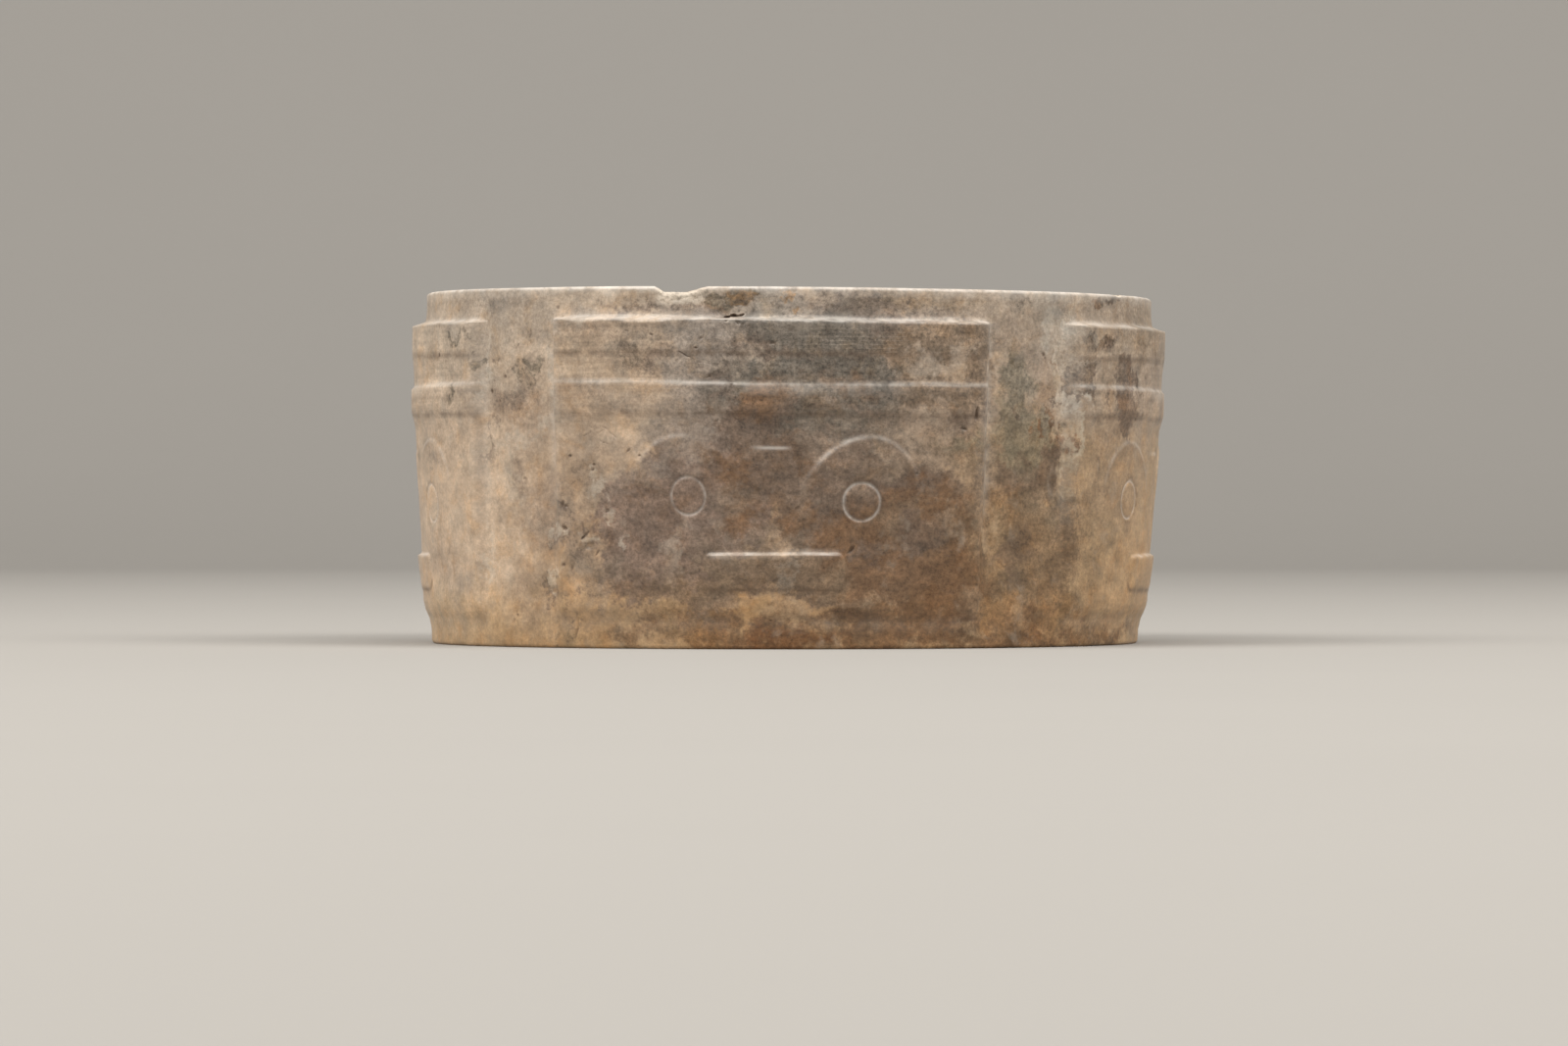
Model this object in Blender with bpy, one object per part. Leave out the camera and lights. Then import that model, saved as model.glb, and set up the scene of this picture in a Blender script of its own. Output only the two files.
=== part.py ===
"""A round, bracelet-type jade cong, worked from one block of nephrite.

A plain ring carries four raised panels, parted by four sunk strips that run from rim to foot. Each
panel has two level bars at its head and, under them, a beast mask: two egg-shaped eyelids with a
drilled ring for each pupil, a bridge between them and a broad bar for the mouth.

Run with: blender --background --python part.py

The frame: +Z up, the foot on Z = 0, and the front panel faces -Y. Angles go round the ring from the
front, positive towards +X. Sizes are in millimetres and degrees, and the model is in metres.
"""

from math import atan2, cos, degrees, hypot, pi, radians, sin

import bmesh
import bpy
from mathutils import Vector

MM = 0.001

# ---- driving dimensions -------------------------------------------------------------------------

HEIGHT = 41.4
BORE_RADIUS = 33.5  # at the waist of the bore
BORE_FLARE = 0.8  # how much wider the bore is at both mouths
BORE_EDGE = 0.8  # rounding of the bore's two mouths
COLLAR_HEAD_RADIUS = 43.3  # the sunk strips and the collars, at the rim
COLLAR_FOOT_RADIUS = 42.2  # the same, at the foot
COLLAR_EDGE = 0.45  # rounding of the outer edges of rim and foot
EDGE_MIDDLE = 0.3  # how deep a rounding's middle point lies, as a share of the rounding
LEAN = 0.53  # the foot's middle stands this far to -X of the rim's
RIM_SLOPE = 0.35  # the ring is this much taller at -X, and lower at +X

PANEL_FOOT = 3.5
PANEL_HEAD = 37.7
GROUND_FOOT_RADIUS = 43.2  # a panel's ground, at its foot
GROUND_HEAD_RADIUS = 44.7  # the same, at its head
BAR_RADIUS = 45.0  # the widest part, across the level bars
BARS = ((26.9, 30.5), (33.8, 37.7))  # foot and head of each level bar
RISER = 1.0  # degrees over which a panel's sides slope down to the strips
LEDGE = 0.3  # how far the edges of bars and masks slope

# Each panel: its centre and width in degrees, how far its mask stands off that centre, how much lower
# the mask is than the front one, and how much lower the bars end at the right than at the left.
PANELS = {
    "front": {"centre": -3.15, "width": 69.1, "mask_shift": 1.35, "mask_drop": 0.0, "fall": 0.28},
    "right": {"centre": 81.8, "width": 66.0, "mask_shift": -4.2, "mask_drop": 0.3, "fall": -0.12},
    "back": {"centre": 176.7, "width": 78.0, "mask_shift": 0.5, "mask_drop": 0.1, "fall": 0.2},
    "left": {"centre": -88.3, "width": 66.0, "mask_shift": 4.2, "mask_drop": 0.35, "fall": 0.1},
}

LID_RELIEF = 0.36  # how far eyelids stand out of the ground
BRIDGE_RELIEF = 0.3
MOUTH_RELIEF = 0.5
PUPIL_OFFSET = 13.0  # degrees from the mask's middle to each pupil
PUPIL_HEIGHT = 17.2
PUPIL_DROP = 0.3  # the right pupil is this much lower, and the left this much higher
PUPIL_RADIUS = 2.2  # to the middle of the drilled groove
GROOVE_WIDTH = 0.5
GROOVE_DEPTH = 0.2
LID_HALF_LENGTH = 7.2
LID_HALF_HEIGHT = 5.9
LID_EGG = 0.13  # how much slimmer a lid's inner end is than its outer one
LID_TILT = 28.0  # the outer end of a lid is the higher one
LID_INWARD = 0.4  # a lid's middle, from its pupil towards the bridge
LID_HEIGHT = 17.8  # of both lids' middles, which are level
BRIDGE_FOOT = 16.2
BRIDGE_HEAD = 23.0
BRIDGE_SHIFT = 0.8  # degrees from the mask's middle
BRIDGE_HALF_FOOT = 1.6
BRIDGE_HALF_HEAD = 3.0
BRIDGE_SQUARENESS = 4  # 2 is an oval, and more is squarer
MOUTH_FOOT = 6.85
MOUTH_HEAD = 10.9
MOUTH_HALF_LENGTH = 8.2
MOUTH_CORNER = 1.1
MOUTH_CORNER_TURNS = (35, 65)  # degrees round a corner at which it has its points

# The hollow worn and broken into the rim, from its outer edge to the bore.
CHIP_ANGLE = -16.3
CHIP_ALONG = 3.1
CHIP_ACROSS = 12.0
CHIP_DOWN = 0.85

# How finely the round forms are faceted.
RING_STEPS = 96
PANEL_STEPS = 20
MOUTH_STEPS = 8
BORE_STEPS = 3
OUTLINE_POINTS = 24

# How deep the added solids reach into the wall, and how far their lower edges dip under it.
ROOT = 1.5
BRIDGE_ROOT = 2.1
SINK = 0.3

JADE_COLOUR = (0.46, 0.34, 0.23, 1.0)
JADE_ROUGHNESS = 0.45


# ---- places on the wall -------------------------------------------------------------------------


def between(low, high, share):
    return low + (high - low) * share


def collar_radius(height):
    return between(COLLAR_FOOT_RADIUS, COLLAR_HEAD_RADIUS, height / HEIGHT)


def ground_radius(height):
    share = (height - PANEL_FOOT) / (PANEL_HEAD - PANEL_FOOT)
    return between(GROUND_FOOT_RADIUS, GROUND_HEAD_RADIUS, share)


def degrees_across(width):
    """The angle that a width along the panel's ground takes, at the height of the pupils."""
    return degrees(width / ground_radius(PUPIL_HEIGHT))


def settle(angle, radius, height):
    """A point of the ring in metres, with the slight lean and slope that all of it has."""
    across = radius * sin(radians(angle))
    lean = LEAN * (height - (BARS[0][0] + PANEL_HEAD) / 2) / HEIGHT
    rise = RIM_SLOPE * across / COLLAR_HEAD_RADIUS * height / HEIGHT
    return Vector((across + lean, -radius * cos(radians(angle)), height - rise)) * MM


# ---- building helpers ---------------------------------------------------------------------------


def finish_solid(name, bm, collection, helper=True):
    bmesh.ops.recalc_face_normals(bm, faces=bm.faces)
    mesh = bpy.data.meshes.new(name)
    bm.to_mesh(mesh)
    bm.free()
    solid = bpy.data.objects.new(name, mesh)
    collection.objects.link(solid)
    if helper:
        solid.hide_render = True
        solid.display_type = "WIRE"
    return solid


def join_loops(bm, rows):
    """Faces between each closed loop of vertices and the next."""
    for first, second in zip(rows, rows[1:]):
        for i, vertex in enumerate(first):
            after = (i + 1) % len(first)
            bm.faces.new((vertex, first[after], second[after], second[i]))


def slab(name, stations, root_radius, collection):
    """A curved solid in the ring's wall, lofted through stations along the ring.

    Each station is an angle and the solid's outside there, as (radius, height) from foot to head.
    """
    bm = bmesh.new()
    rows = []
    for angle, outside in stations:
        section = [(root_radius, outside[0][1]), *outside, (root_radius, outside[-1][1])]
        rows.append([bm.verts.new(settle(angle, *point)) for point in section])
    join_loops(bm, rows)
    bm.faces.new(rows[0])
    bm.faces.new(rows[-1])
    return finish_solid(name, bm, collection)


def boss(name, angle, height, loops, collection):
    """A raised piece of the mask round the point of the panel's ground at that angle and height.

    Its loops run from its root to the inside of its top. Each is an outline of (across, up) points
    from that middle, and its lift from the ground.
    """
    bm = bmesh.new()

    def on_wall(across, up, lift):
        radius = ground_radius(height + up) + lift
        return settle(angle + degrees_across(across), radius, height + up)

    rows = [[bm.verts.new(on_wall(*point, lift)) for point in outline] for outline, lift in loops]
    join_loops(bm, rows)
    for row, (_, lift) in ((rows[0], loops[0]), (rows[-1], loops[-1])):
        middle = bm.verts.new(on_wall(0.0, 0.0, lift))
        for i, vertex in enumerate(row):
            bm.faces.new((vertex, row[(i + 1) % len(row)], middle))
    return finish_solid(name, bm, collection)


def drawn_in(outline, margin):
    """An outline whose points are all a margin nearer to its middle."""
    return [(a - margin * a / hypot(a, u), u - margin * u / hypot(a, u)) for a, u in outline]


# ---- the ring and its panels --------------------------------------------------------------------


def ring_section():
    """The plain ring's section as (radius, height): up the outside and down the bore."""
    shoulder = HEIGHT - COLLAR_EDGE
    outside = [
        (COLLAR_FOOT_RADIUS - COLLAR_EDGE, 0.0),
        (COLLAR_FOOT_RADIUS - EDGE_MIDDLE * COLLAR_EDGE, EDGE_MIDDLE * COLLAR_EDGE),
        (COLLAR_FOOT_RADIUS, COLLAR_EDGE),
        (collar_radius(shoulder), shoulder),
        (collar_radius(shoulder) - EDGE_MIDDLE * COLLAR_EDGE, HEIGHT - EDGE_MIDDLE * COLLAR_EDGE),
        (collar_radius(shoulder) - COLLAR_EDGE, HEIGHT),
    ]
    mouth_radius = BORE_RADIUS + BORE_FLARE + BORE_EDGE
    bore = [(mouth_radius, HEIGHT)]
    for i in range(BORE_STEPS + 1):
        share = i / BORE_STEPS
        flare = BORE_FLARE * (2 * share - 1) ** 2
        bore.append((BORE_RADIUS + flare, between(HEIGHT - BORE_EDGE, BORE_EDGE, share)))
    bore.append((mouth_radius, 0.0))
    return outside + bore


def plain_ring(collection):
    bm = bmesh.new()
    section = [bm.verts.new((radius, 0.0, height)) for radius, height in ring_section()]
    edges = [bm.edges.new(pair) for pair in zip(section, section[1:] + section[:1])]
    bmesh.ops.spin(
        bm,
        geom=section + edges,
        cent=(0.0, 0.0, 0.0),
        axis=(0.0, 0.0, 1.0),
        angle=2 * pi,
        steps=RING_STEPS,
        use_merge=True,
    )
    bmesh.ops.remove_doubles(bm, verts=bm.verts, dist=0.001)
    for vertex in bm.verts:
        x, y, height = vertex.co
        vertex.co = settle(degrees(atan2(y, x)), hypot(x, y), height)
    return finish_solid("jade_cong", bm, collection, helper=False)


def panel_section():
    """A panel's outside with its bars, as (radius, height) from foot to head."""
    section = [(ground_radius(PANEL_FOOT + LEDGE), PANEL_FOOT + LEDGE)]
    for foot, head in BARS:
        section.append((ground_radius(foot), foot))
        section.append((BAR_RADIUS, foot + LEDGE))
        section.append((BAR_RADIUS, head - LEDGE))
        section.append((ground_radius(head), head))
    section.pop()
    return section


def panel(name, size, collection):
    """A panel in the ring's wall, whose sides slope down under the strips beside it."""
    stations = []
    for i in range(-1, PANEL_STEPS + 2):
        side = -1 if i < 0 else 1
        is_sunk = i < 0 or i > PANEL_STEPS
        share = min(max(i / PANEL_STEPS, 0.0), 1.0)
        angle = size["centre"] + size["width"] * (share - 0.5)
        outside = [(collar_radius(PANEL_FOOT) - SINK, PANEL_FOOT)]
        for radius, height in panel_section():
            outside.append((collar_radius(height) - SINK if is_sunk else radius, height))
        outside.append((collar_radius(PANEL_HEAD) - SINK, PANEL_HEAD))
        fall = size["fall"] * (share - 0.5) / PANEL_HEAD
        outside = [(radius, height * (1 - fall)) for radius, height in outside]
        stations.append((angle + side * RISER if is_sunk else angle, outside))
    slab(f"panel_{name}", stations, COLLAR_FOOT_RADIUS - ROOT, collection)


# ---- the mask -----------------------------------------------------------------------------------


def eyelid_outline(side, rise):
    """A lid's egg-shaped edge from its pupil, whose middle is a rise above the pupil.

    side is -1 for the left eye and 1 for the right.
    """
    tilt = radians(LID_TILT)
    points = []
    for i in range(OUTLINE_POINTS):
        turn = 2 * pi * i / OUTLINE_POINTS
        outward = LID_HALF_LENGTH * cos(turn)
        upward = LID_HALF_HEIGHT * sin(turn) * (1 + LID_EGG * cos(turn))
        across = side * (outward * cos(tilt) - upward * sin(tilt) - LID_INWARD)
        points.append((across, outward * sin(tilt) + upward * cos(tilt) + rise))
    return points


def eye(name, mask_centre, drop, side, collection):
    """A lid with the drilled groove round its pupil."""
    pupil_height = PUPIL_HEIGHT - side * PUPIL_DROP
    edge = eyelid_outline(side, LID_HEIGHT - pupil_height)
    top = drawn_in(edge, LEDGE)

    def circle(radius):
        return [(radius * a / hypot(a, u), radius * u / hypot(a, u)) for a, u in edge]

    halfway = [((a + b) / 2, (u + v) / 2) for (a, u), (b, v) in zip(top, circle(PUPIL_RADIUS))]
    loops = [
        (edge, -ROOT),
        (edge, 0.0),
        (top, LID_RELIEF),
        (halfway, LID_RELIEF),
        (circle(PUPIL_RADIUS + GROOVE_WIDTH / 2), LID_RELIEF),
        (circle(PUPIL_RADIUS), LID_RELIEF - GROOVE_DEPTH),
        (circle(PUPIL_RADIUS - GROOVE_WIDTH / 2), LID_RELIEF),
    ]
    angle = mask_centre + side * PUPIL_OFFSET
    boss(name, angle, pupil_height - drop, loops, collection)


def bridge(name, mask_centre, drop, collection):
    """The bridge between the eyelids, which narrows downwards and has rounded corners."""
    half_height = (BRIDGE_HEAD - BRIDGE_FOOT) / 2
    edge = []
    for i in range(OUTLINE_POINTS):
        turn = 2 * pi * (i + 0.5) / OUTLINE_POINTS
        reach = abs(cos(turn)) ** BRIDGE_SQUARENESS + abs(sin(turn)) ** BRIDGE_SQUARENESS
        reach = reach ** (-1 / BRIDGE_SQUARENESS)
        half_width = between(BRIDGE_HALF_FOOT, BRIDGE_HALF_HEAD, (1 + reach * sin(turn)) / 2)
        edge.append((half_width * reach * cos(turn), half_height * reach * sin(turn)))
    loops = [(edge, -BRIDGE_ROOT), (edge, 0.0), (drawn_in(edge, LEDGE), BRIDGE_RELIEF)]
    angle = mask_centre + BRIDGE_SHIFT
    boss(name, angle, (BRIDGE_HEAD + BRIDGE_FOOT) / 2 - drop, loops, collection)


def mouth(name, mask_centre, drop, collection):
    """A level bar with rounded corners and sloping edges."""
    straight = MOUTH_HALF_LENGTH - MOUTH_CORNER
    spans = [(straight * (2 * i / MOUTH_STEPS - 1), 0.0) for i in range(MOUTH_STEPS + 1)]
    for turn in map(radians, MOUTH_CORNER_TURNS):
        reach = straight + MOUTH_CORNER * sin(turn)
        trim = MOUTH_CORNER * (1 - cos(turn))
        spans = [(-reach, trim), *spans, (reach, trim)]
    stations = []
    for across, trim in spans:
        foot, head = MOUTH_FOOT - drop + trim, MOUTH_HEAD - drop - trim
        outside = [
            (ground_radius(foot) - SINK, foot),
            (ground_radius(foot) + MOUTH_RELIEF, foot + LEDGE),
            (ground_radius(head) + MOUTH_RELIEF, head - LEDGE),
            (ground_radius(head) - SINK, head),
        ]
        stations.append((mask_centre + degrees_across(across), outside))
    for end, side in ((0, -1), (-1, 1)):
        trim = spans[end][1] + LEDGE
        low, high = MOUTH_FOOT - drop + trim, MOUTH_HEAD - drop - trim
        outside = [
            (ground_radius(height) - SINK, min(max(height, low), high))
            for _, height in stations[end][1]
        ]
        angle = mask_centre + side * degrees_across(MOUTH_HALF_LENGTH)
        stations.insert(0 if side < 0 else len(stations), (angle, outside))
    slab(name, stations, COLLAR_FOOT_RADIUS - ROOT, collection)


def rim_chip(collection):
    """The hollow of the chip: a flattened ball on the rim's outer edge."""
    bm = bmesh.new()
    bmesh.ops.create_icosphere(bm, subdivisions=2, radius=1.0)
    turn = radians(CHIP_ANGLE)
    middle = settle(CHIP_ANGLE, COLLAR_HEAD_RADIUS, HEIGHT)
    for vertex in bm.verts:
        along = vertex.co.x * CHIP_ALONG
        across = vertex.co.y * CHIP_ACROSS
        offset = Vector((0.0, 0.0, vertex.co.z * CHIP_DOWN))
        offset.x = along * cos(turn) - across * sin(turn)
        offset.y = along * sin(turn) + across * cos(turn)
        vertex.co = middle + offset * MM
    return finish_solid("rim_chip", bm, collection)


# ---- the finished piece -------------------------------------------------------------------------


def jade_material():
    material = bpy.data.materials.new("weathered_jade")
    material.use_nodes = True
    shader = material.node_tree.nodes["Principled BSDF"]
    shader.inputs["Base Color"].default_value = JADE_COLOUR
    shader.inputs["Roughness"].default_value = JADE_ROUGHNESS
    shader.inputs["Metallic"].default_value = 0.0
    return material


def main():
    for obj in list(bpy.data.objects):
        bpy.data.objects.remove(obj)
    scene = bpy.context.scene.collection
    raised = bpy.data.collections.new("raised_work")
    scene.children.link(raised)

    cong = plain_ring(scene)
    for name, size in PANELS.items():
        mask_centre = size["centre"] + size["mask_shift"]
        drop = size["mask_drop"]
        panel(name, size, raised)
        eye(f"left_eye_{name}", mask_centre, drop, -1, raised)
        eye(f"right_eye_{name}", mask_centre, drop, 1, raised)
        bridge(f"bridge_{name}", mask_centre, drop, raised)
        mouth(f"mouth_{name}", mask_centre, drop, raised)

    for piece in raised.objects:
        union = cong.modifiers.new(piece.name, "BOOLEAN")
        union.operation = "UNION"
        union.solver = "EXACT"
        union.object = piece

    chip = cong.modifiers.new("rim_chip", "BOOLEAN")
    chip.operation = "DIFFERENCE"
    chip.solver = "EXACT"
    chip.object = rim_chip(scene)

    cong.data.materials.append(jade_material())
    cong.data.shade_smooth()
    cong.data.set_sharp_from_angle(angle=radians(25))


main()
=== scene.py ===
"""A weathered, bracelet-type jade cong, carved from one block of nephrite.

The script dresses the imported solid: it carves the same ring again as one fine mesh, with soft worn
edges, drilled pupils, chips and pits, gives it the clouded, stained stone of a long-buried jade, and
sets it on a plain pale floor in soft light.

Sizes are in millimetres and degrees unless a name or a property says otherwise. Angles go round the
ring from the front, which faces -Y, and are positive towards +X.
"""

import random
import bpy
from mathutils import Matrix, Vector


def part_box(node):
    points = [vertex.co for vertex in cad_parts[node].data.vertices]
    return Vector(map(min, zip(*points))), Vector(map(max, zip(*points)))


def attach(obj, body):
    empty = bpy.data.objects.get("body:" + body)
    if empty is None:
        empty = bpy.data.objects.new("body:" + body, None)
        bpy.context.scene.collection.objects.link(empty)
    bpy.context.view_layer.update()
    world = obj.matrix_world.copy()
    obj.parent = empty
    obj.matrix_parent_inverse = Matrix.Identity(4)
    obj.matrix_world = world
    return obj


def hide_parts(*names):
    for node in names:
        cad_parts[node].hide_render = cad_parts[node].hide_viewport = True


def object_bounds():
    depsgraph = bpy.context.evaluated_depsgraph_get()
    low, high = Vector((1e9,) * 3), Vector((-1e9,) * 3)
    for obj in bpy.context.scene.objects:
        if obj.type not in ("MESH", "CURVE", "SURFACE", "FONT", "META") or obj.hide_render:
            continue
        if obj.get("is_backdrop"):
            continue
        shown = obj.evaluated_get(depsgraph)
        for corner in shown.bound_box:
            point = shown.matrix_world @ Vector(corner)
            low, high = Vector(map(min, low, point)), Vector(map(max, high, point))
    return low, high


bl_info = {
    "name": "Jade Cong",
    "version": (1, 0, 0),
    "blender": (4, 5, 0),
    "location": "3D View > Sidebar > Cong",
    "description": "Carves a weathered jade cong and sets it on a pale studio floor",
    "category": "Add Mesh",
}

from collections import namedtuple
from math import cos, degrees, pi, radians, sin

import bmesh
import bpy
import numpy as np
from bpy.props import FloatProperty, FloatVectorProperty, IntProperty, PointerProperty
from mathutils import Vector, noise

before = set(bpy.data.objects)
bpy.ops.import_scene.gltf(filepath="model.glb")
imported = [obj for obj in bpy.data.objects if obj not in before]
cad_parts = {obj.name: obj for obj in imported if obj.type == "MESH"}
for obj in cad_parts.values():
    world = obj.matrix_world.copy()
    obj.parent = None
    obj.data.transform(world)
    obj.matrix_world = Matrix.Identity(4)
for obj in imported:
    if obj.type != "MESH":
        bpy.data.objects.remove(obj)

# ---- the solid's own sizes ----------------------------------------------------------------------

HEIGHT = 41.4
BORE_RADIUS = 33.5
BORE_FLARE = 0.8
BORE_EDGE = 0.8
COLLAR_HEAD_RADIUS = 43.3
COLLAR_FOOT_RADIUS = 42.2
COLLAR_EDGE = 0.45
LEAN = 0.53
RIM_SLOPE = 0.35

PANEL_FOOT = 3.5
PANEL_HEAD = 37.7
GROUND_FOOT_RADIUS = 43.2
GROUND_HEAD_RADIUS = 44.7
BAR_RADIUS = 45.0
BARS = ((26.9, 30.5), (33.8, 37.7))

# A raised panel: where it is, how wide, where its mask sits, how much lower its lines run at its
# right end than at its left, and how far its ground is worn away, from 0 to 1.
Panel = namedtuple("Panel", "centre width mask_shift mask_drop fall worn_flat")
FRONT = Panel(centre=-3.15, width=69.1, mask_shift=1.35, mask_drop=0.0, fall=0.28, worn_flat=1.0)
RIGHT = Panel(centre=81.8, width=66.0, mask_shift=-2.9, mask_drop=0.3, fall=-0.12, worn_flat=0.0)
BACK = Panel(centre=176.7, width=78.0, mask_shift=0.5, mask_drop=0.1, fall=0.2, worn_flat=0.4)
LEFT = Panel(centre=-88.3, width=66.0, mask_shift=3.2, mask_drop=0.35, fall=0.1, worn_flat=0.0)
PANELS = (FRONT, RIGHT, BACK, LEFT)

LID_RELIEF = 0.36
LID_HALF_LENGTH = 7.2
LID_HALF_HEIGHT = 5.9
LID_EGG = 0.13
LID_TILT = 28.0
LID_INWARD = 0.4
LID_HEIGHT = 17.8
PUPIL_OFFSET = 13.0
PUPIL_HEIGHT = 17.2
PUPIL_DROP = 0.3
PUPIL_RADIUS = 2.2
BRIDGE_RELIEF = 0.3
BRIDGE_FOOT = 16.2
BRIDGE_HEAD = 23.0
BRIDGE_SHIFT = 0.8
BRIDGE_HALF_FOOT = 1.6
BRIDGE_HALF_HEAD = 3.0
BRIDGE_HALF_MEAN = 2.6
MOUTH_RELIEF = 0.5
MOUTH_FOOT = 6.85
MOUTH_HEAD = 10.9
MOUTH_HALF_LENGTH = 8.2
MOUTH_CORNER = 1.1

# One millimetre in metres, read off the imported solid's half depth.
SOLID_LOW, SOLID_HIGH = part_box("jade_cong")
MM = (SOLID_HIGH.y - SOLID_LOW.y) / 2 / BAR_RADIUS
# Millimetres in a metre, for the sizes that are kept as properties.
PER_METRE = 1000
# Millimetres along the wall for each degree round the ring.
ARC = radians(44.0)
# A distance that counts as far from everything.
FAR = 99.0

# ---- damage -------------------------------------------------------------------------------------
# Places on the wall are given in millimetres along it from the front, and up.

# The hollow worn and broken into the rim: angles, and how deep it is there.
NOTCH = (
    (-20.9, 0.0), (-20.0, 0.4), (-19.3, 0.68), (-18.0, 0.72), (-16.0, 0.7), (-15.0, 0.58), (-14.2, 0.36),
    (-12.4, 0.0),
)
# How far under the rim the wall follows the notch, and how far its broken face shows.
NOTCH_REACH = 2.6
NOTCH_FACE = 2.4
# From what depth the notch counts as fully broken.
NOTCH_BREAK = 1 / 3

# Small breaks in the rim's outer edge: angle, and reach along the rim, across it and down.
RimChip = namedtuple("RimChip", "angle along across down")
RIM_CHIPS = (
    RimChip(-32.0, 0.9, 0.3, 0.25),
    RimChip(63.0, 1.6, 0.7, 0.4),
    RimChip(-128.0, 2.4, 0.9, 0.5),
    RimChip(141.0, 1.8, 1.0, 0.45),
)

# Dents in the wall, and how dark the soil in them is.
Dent = namedtuple("Dent", "along up half_length half_width turn depth dark")
DENTS = (
    Dent(-7.0, 41.3, 2.6, 0.5, 0, 0.02, 0.15),
    Dent(-7.8, 38.2, 2.6, 0.6, 0, 0.02, 0.1),
    Dent(-6.6, 39.6, 2.9, 1.7, 8, 0.16, 0.0),
    Dent(-7.1, 37.9, 0.45, 0.16, 10, 0.4, 1.1),
    Dent(-6.3, 38.0, 0.5, 0.2, -6, 0.5, 1.2),
    Dent(-5.5, 38.1, 0.4, 0.13, 14, 0.35, 1.1),
    Dent(-6.9, 37.4, 0.3, 0.2, 30, 0.15, 0.2),
    Dent(-5.0, 37.2, 0.25, 0.2, 0, 0.12, 0.3),
    Dent(-5.6, 37.3, 0.35, 0.25, 0, 0.2, 0.5),
    Dent(-1.9, 34.9, 0.45, 0.3, 0, 0.16, 0.5),
    Dent(22.2, 27.0, 0.8, 0.17, 84, 0.3, 1.1),
    Dent(20.7, 25.3, 0.5, 0.13, -8, 0.2, 1.0),
    Dent(7.4, 11.4, 0.5, 0.2, 42, 0.25, 1.1),
    Dent(15.0, 20.2, 0.16, 0.16, 0, 0.15, 1.1),
    Dent(-27.6, 16.4, 0.5, 0.25, 70, 0.2, 0.5),
    Dent(-27.0, 16.2, 0.25, 0.2, 0, 0.2, 0.8),
    Dent(-28.8, 14.1, 0.7, 0.4, 20, 0.2, 0.1),
    Dent(-27.4, 13.8, 0.42, 0.25, -10, 0.3, 1.1),
    Dent(-21.3, 15.7, 0.35, 0.25, 20, 0.18, 0.7),
    Dent(-24.0, 11.8, 0.9, 0.45, 20, 0.2, 0.0),
    Dent(-24.6, 12.9, 0.6, 0.15, 40, 0.15, 0.7),
    Dent(-23.0, 10.9, 0.4, 0.12, 50, 0.12, 0.5),
    Dent(-29.9, 6.6, 1.1, 0.5, -18, 0.15, 0.2),
    Dent(-27.7, 9.5, 0.3, 0.2, 0, 0.15, 0.6),
    Dent(-26.5, 9.1, 0.35, 0.18, 60, 0.12, 0.5),
    Dent(-38.2, 31.1, 0.28, 0.22, 80, 0.14, 0.7),
    Dent(-40.9, 29.5, 0.3, 0.25, 10, 0.14, 1.1),
    Dent(-26.3, 22.0, 0.22, 0.16, 0, 0.14, 1.0),
    Dent(-23.1, 21.0, 0.2, 0.14, 0, 0.12, 0.9),
    Dent(-23.3, 20.5, 0.22, 0.12, 0, 0.12, 0.8),
    Dent(-18.6, 22.6, 0.3, 0.14, 35, 0.12, 0.8),
    Dent(-17.2, 22.1, 0.18, 0.12, 0, 0.12, 0.8),
    Dent(-18.7, 36.2, 0.2, 0.15, 0, 0.12, 0.8),
    Dent(-15.7, 35.9, 0.22, 0.16, 0, 0.12, 0.8),
    Dent(-9.8, 35.4, 0.25, 0.18, 0, 0.14, 0.7),
    Dent(-10.4, 34.4, 0.2, 0.15, 0, 0.12, 0.7),
    Dent(-1.6, 3.3, 0.14, 0.14, 0, 0.1, 1.0),
    Dent(33.4, 33.2, 0.28, 0.8, 8, 0.12, 0.3),
    Dent(35.4, 22.8, 0.45, 0.8, 10, 0.14, 0.4),
)

# Thin cracks and scratches: points along and up, then width and depth.
CRACKS = (
    (((-12.3, 33.9), (-11.4, 33.3), (-10.3, 32.8), (-9.2, 32.5), (-8.0, 32.3)), 0.06, 0.1),
    (((-24.3, 24.3), (-23.6, 24.6), (-23.1, 24.9)), 0.06, 0.06),
    (((-23.3, 25.4), (-22.7, 25.2), (-22.1, 25.3)), 0.06, 0.06),
    (((-22.4, 24.6), (-21.3, 25.1)), 0.05, 0.06),
    (((-21.6, 25.3), (-20.9, 24.6), (-20.1, 24.1)), 0.07, 0.1),
    (((-22.2, 23.9), (-21.0, 23.3)), 0.05, 0.06),
    (((-26.1, 3.3), (-26.3, 2.4), (-26.6, 1.5)), 0.13, 0.15),
    (((-25.0, 12.6), (-24.5, 13.2), (-23.9, 13.4)), 0.08, 0.1),
)


# ---- places on the wall -------------------------------------------------------------------------


def between(low, high, share):
    return low + (high - low) * share


def swell(share):
    """A soft step from 0 to 1, level at both ends."""
    share = np.clip(share, 0.0, 1.0)
    return share * share * (3 - 2 * share)


def ridge(distance, width):
    """1 on a line, fading to nothing over the width beside it."""
    return np.exp(-((distance / width) ** 2))


def slope(inset, width):
    """0 outside an edge and 1 inside it, with a soft slope of the given width across it."""
    return swell(inset / width + 0.5)


def collar_radius(height):
    return between(COLLAR_FOOT_RADIUS, COLLAR_HEAD_RADIUS, height / HEIGHT)


def ground_radius(height):
    share = (height - PANEL_FOOT) / (PANEL_HEAD - PANEL_FOOT)
    return between(GROUND_FOOT_RADIUS, GROUND_HEAD_RADIUS, share)


def turned_from(angle, centre):
    """How far an angle lies from a centre, from -180 to 180 degrees."""
    return (angle - centre + 180.0) % 360.0 - 180.0


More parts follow.
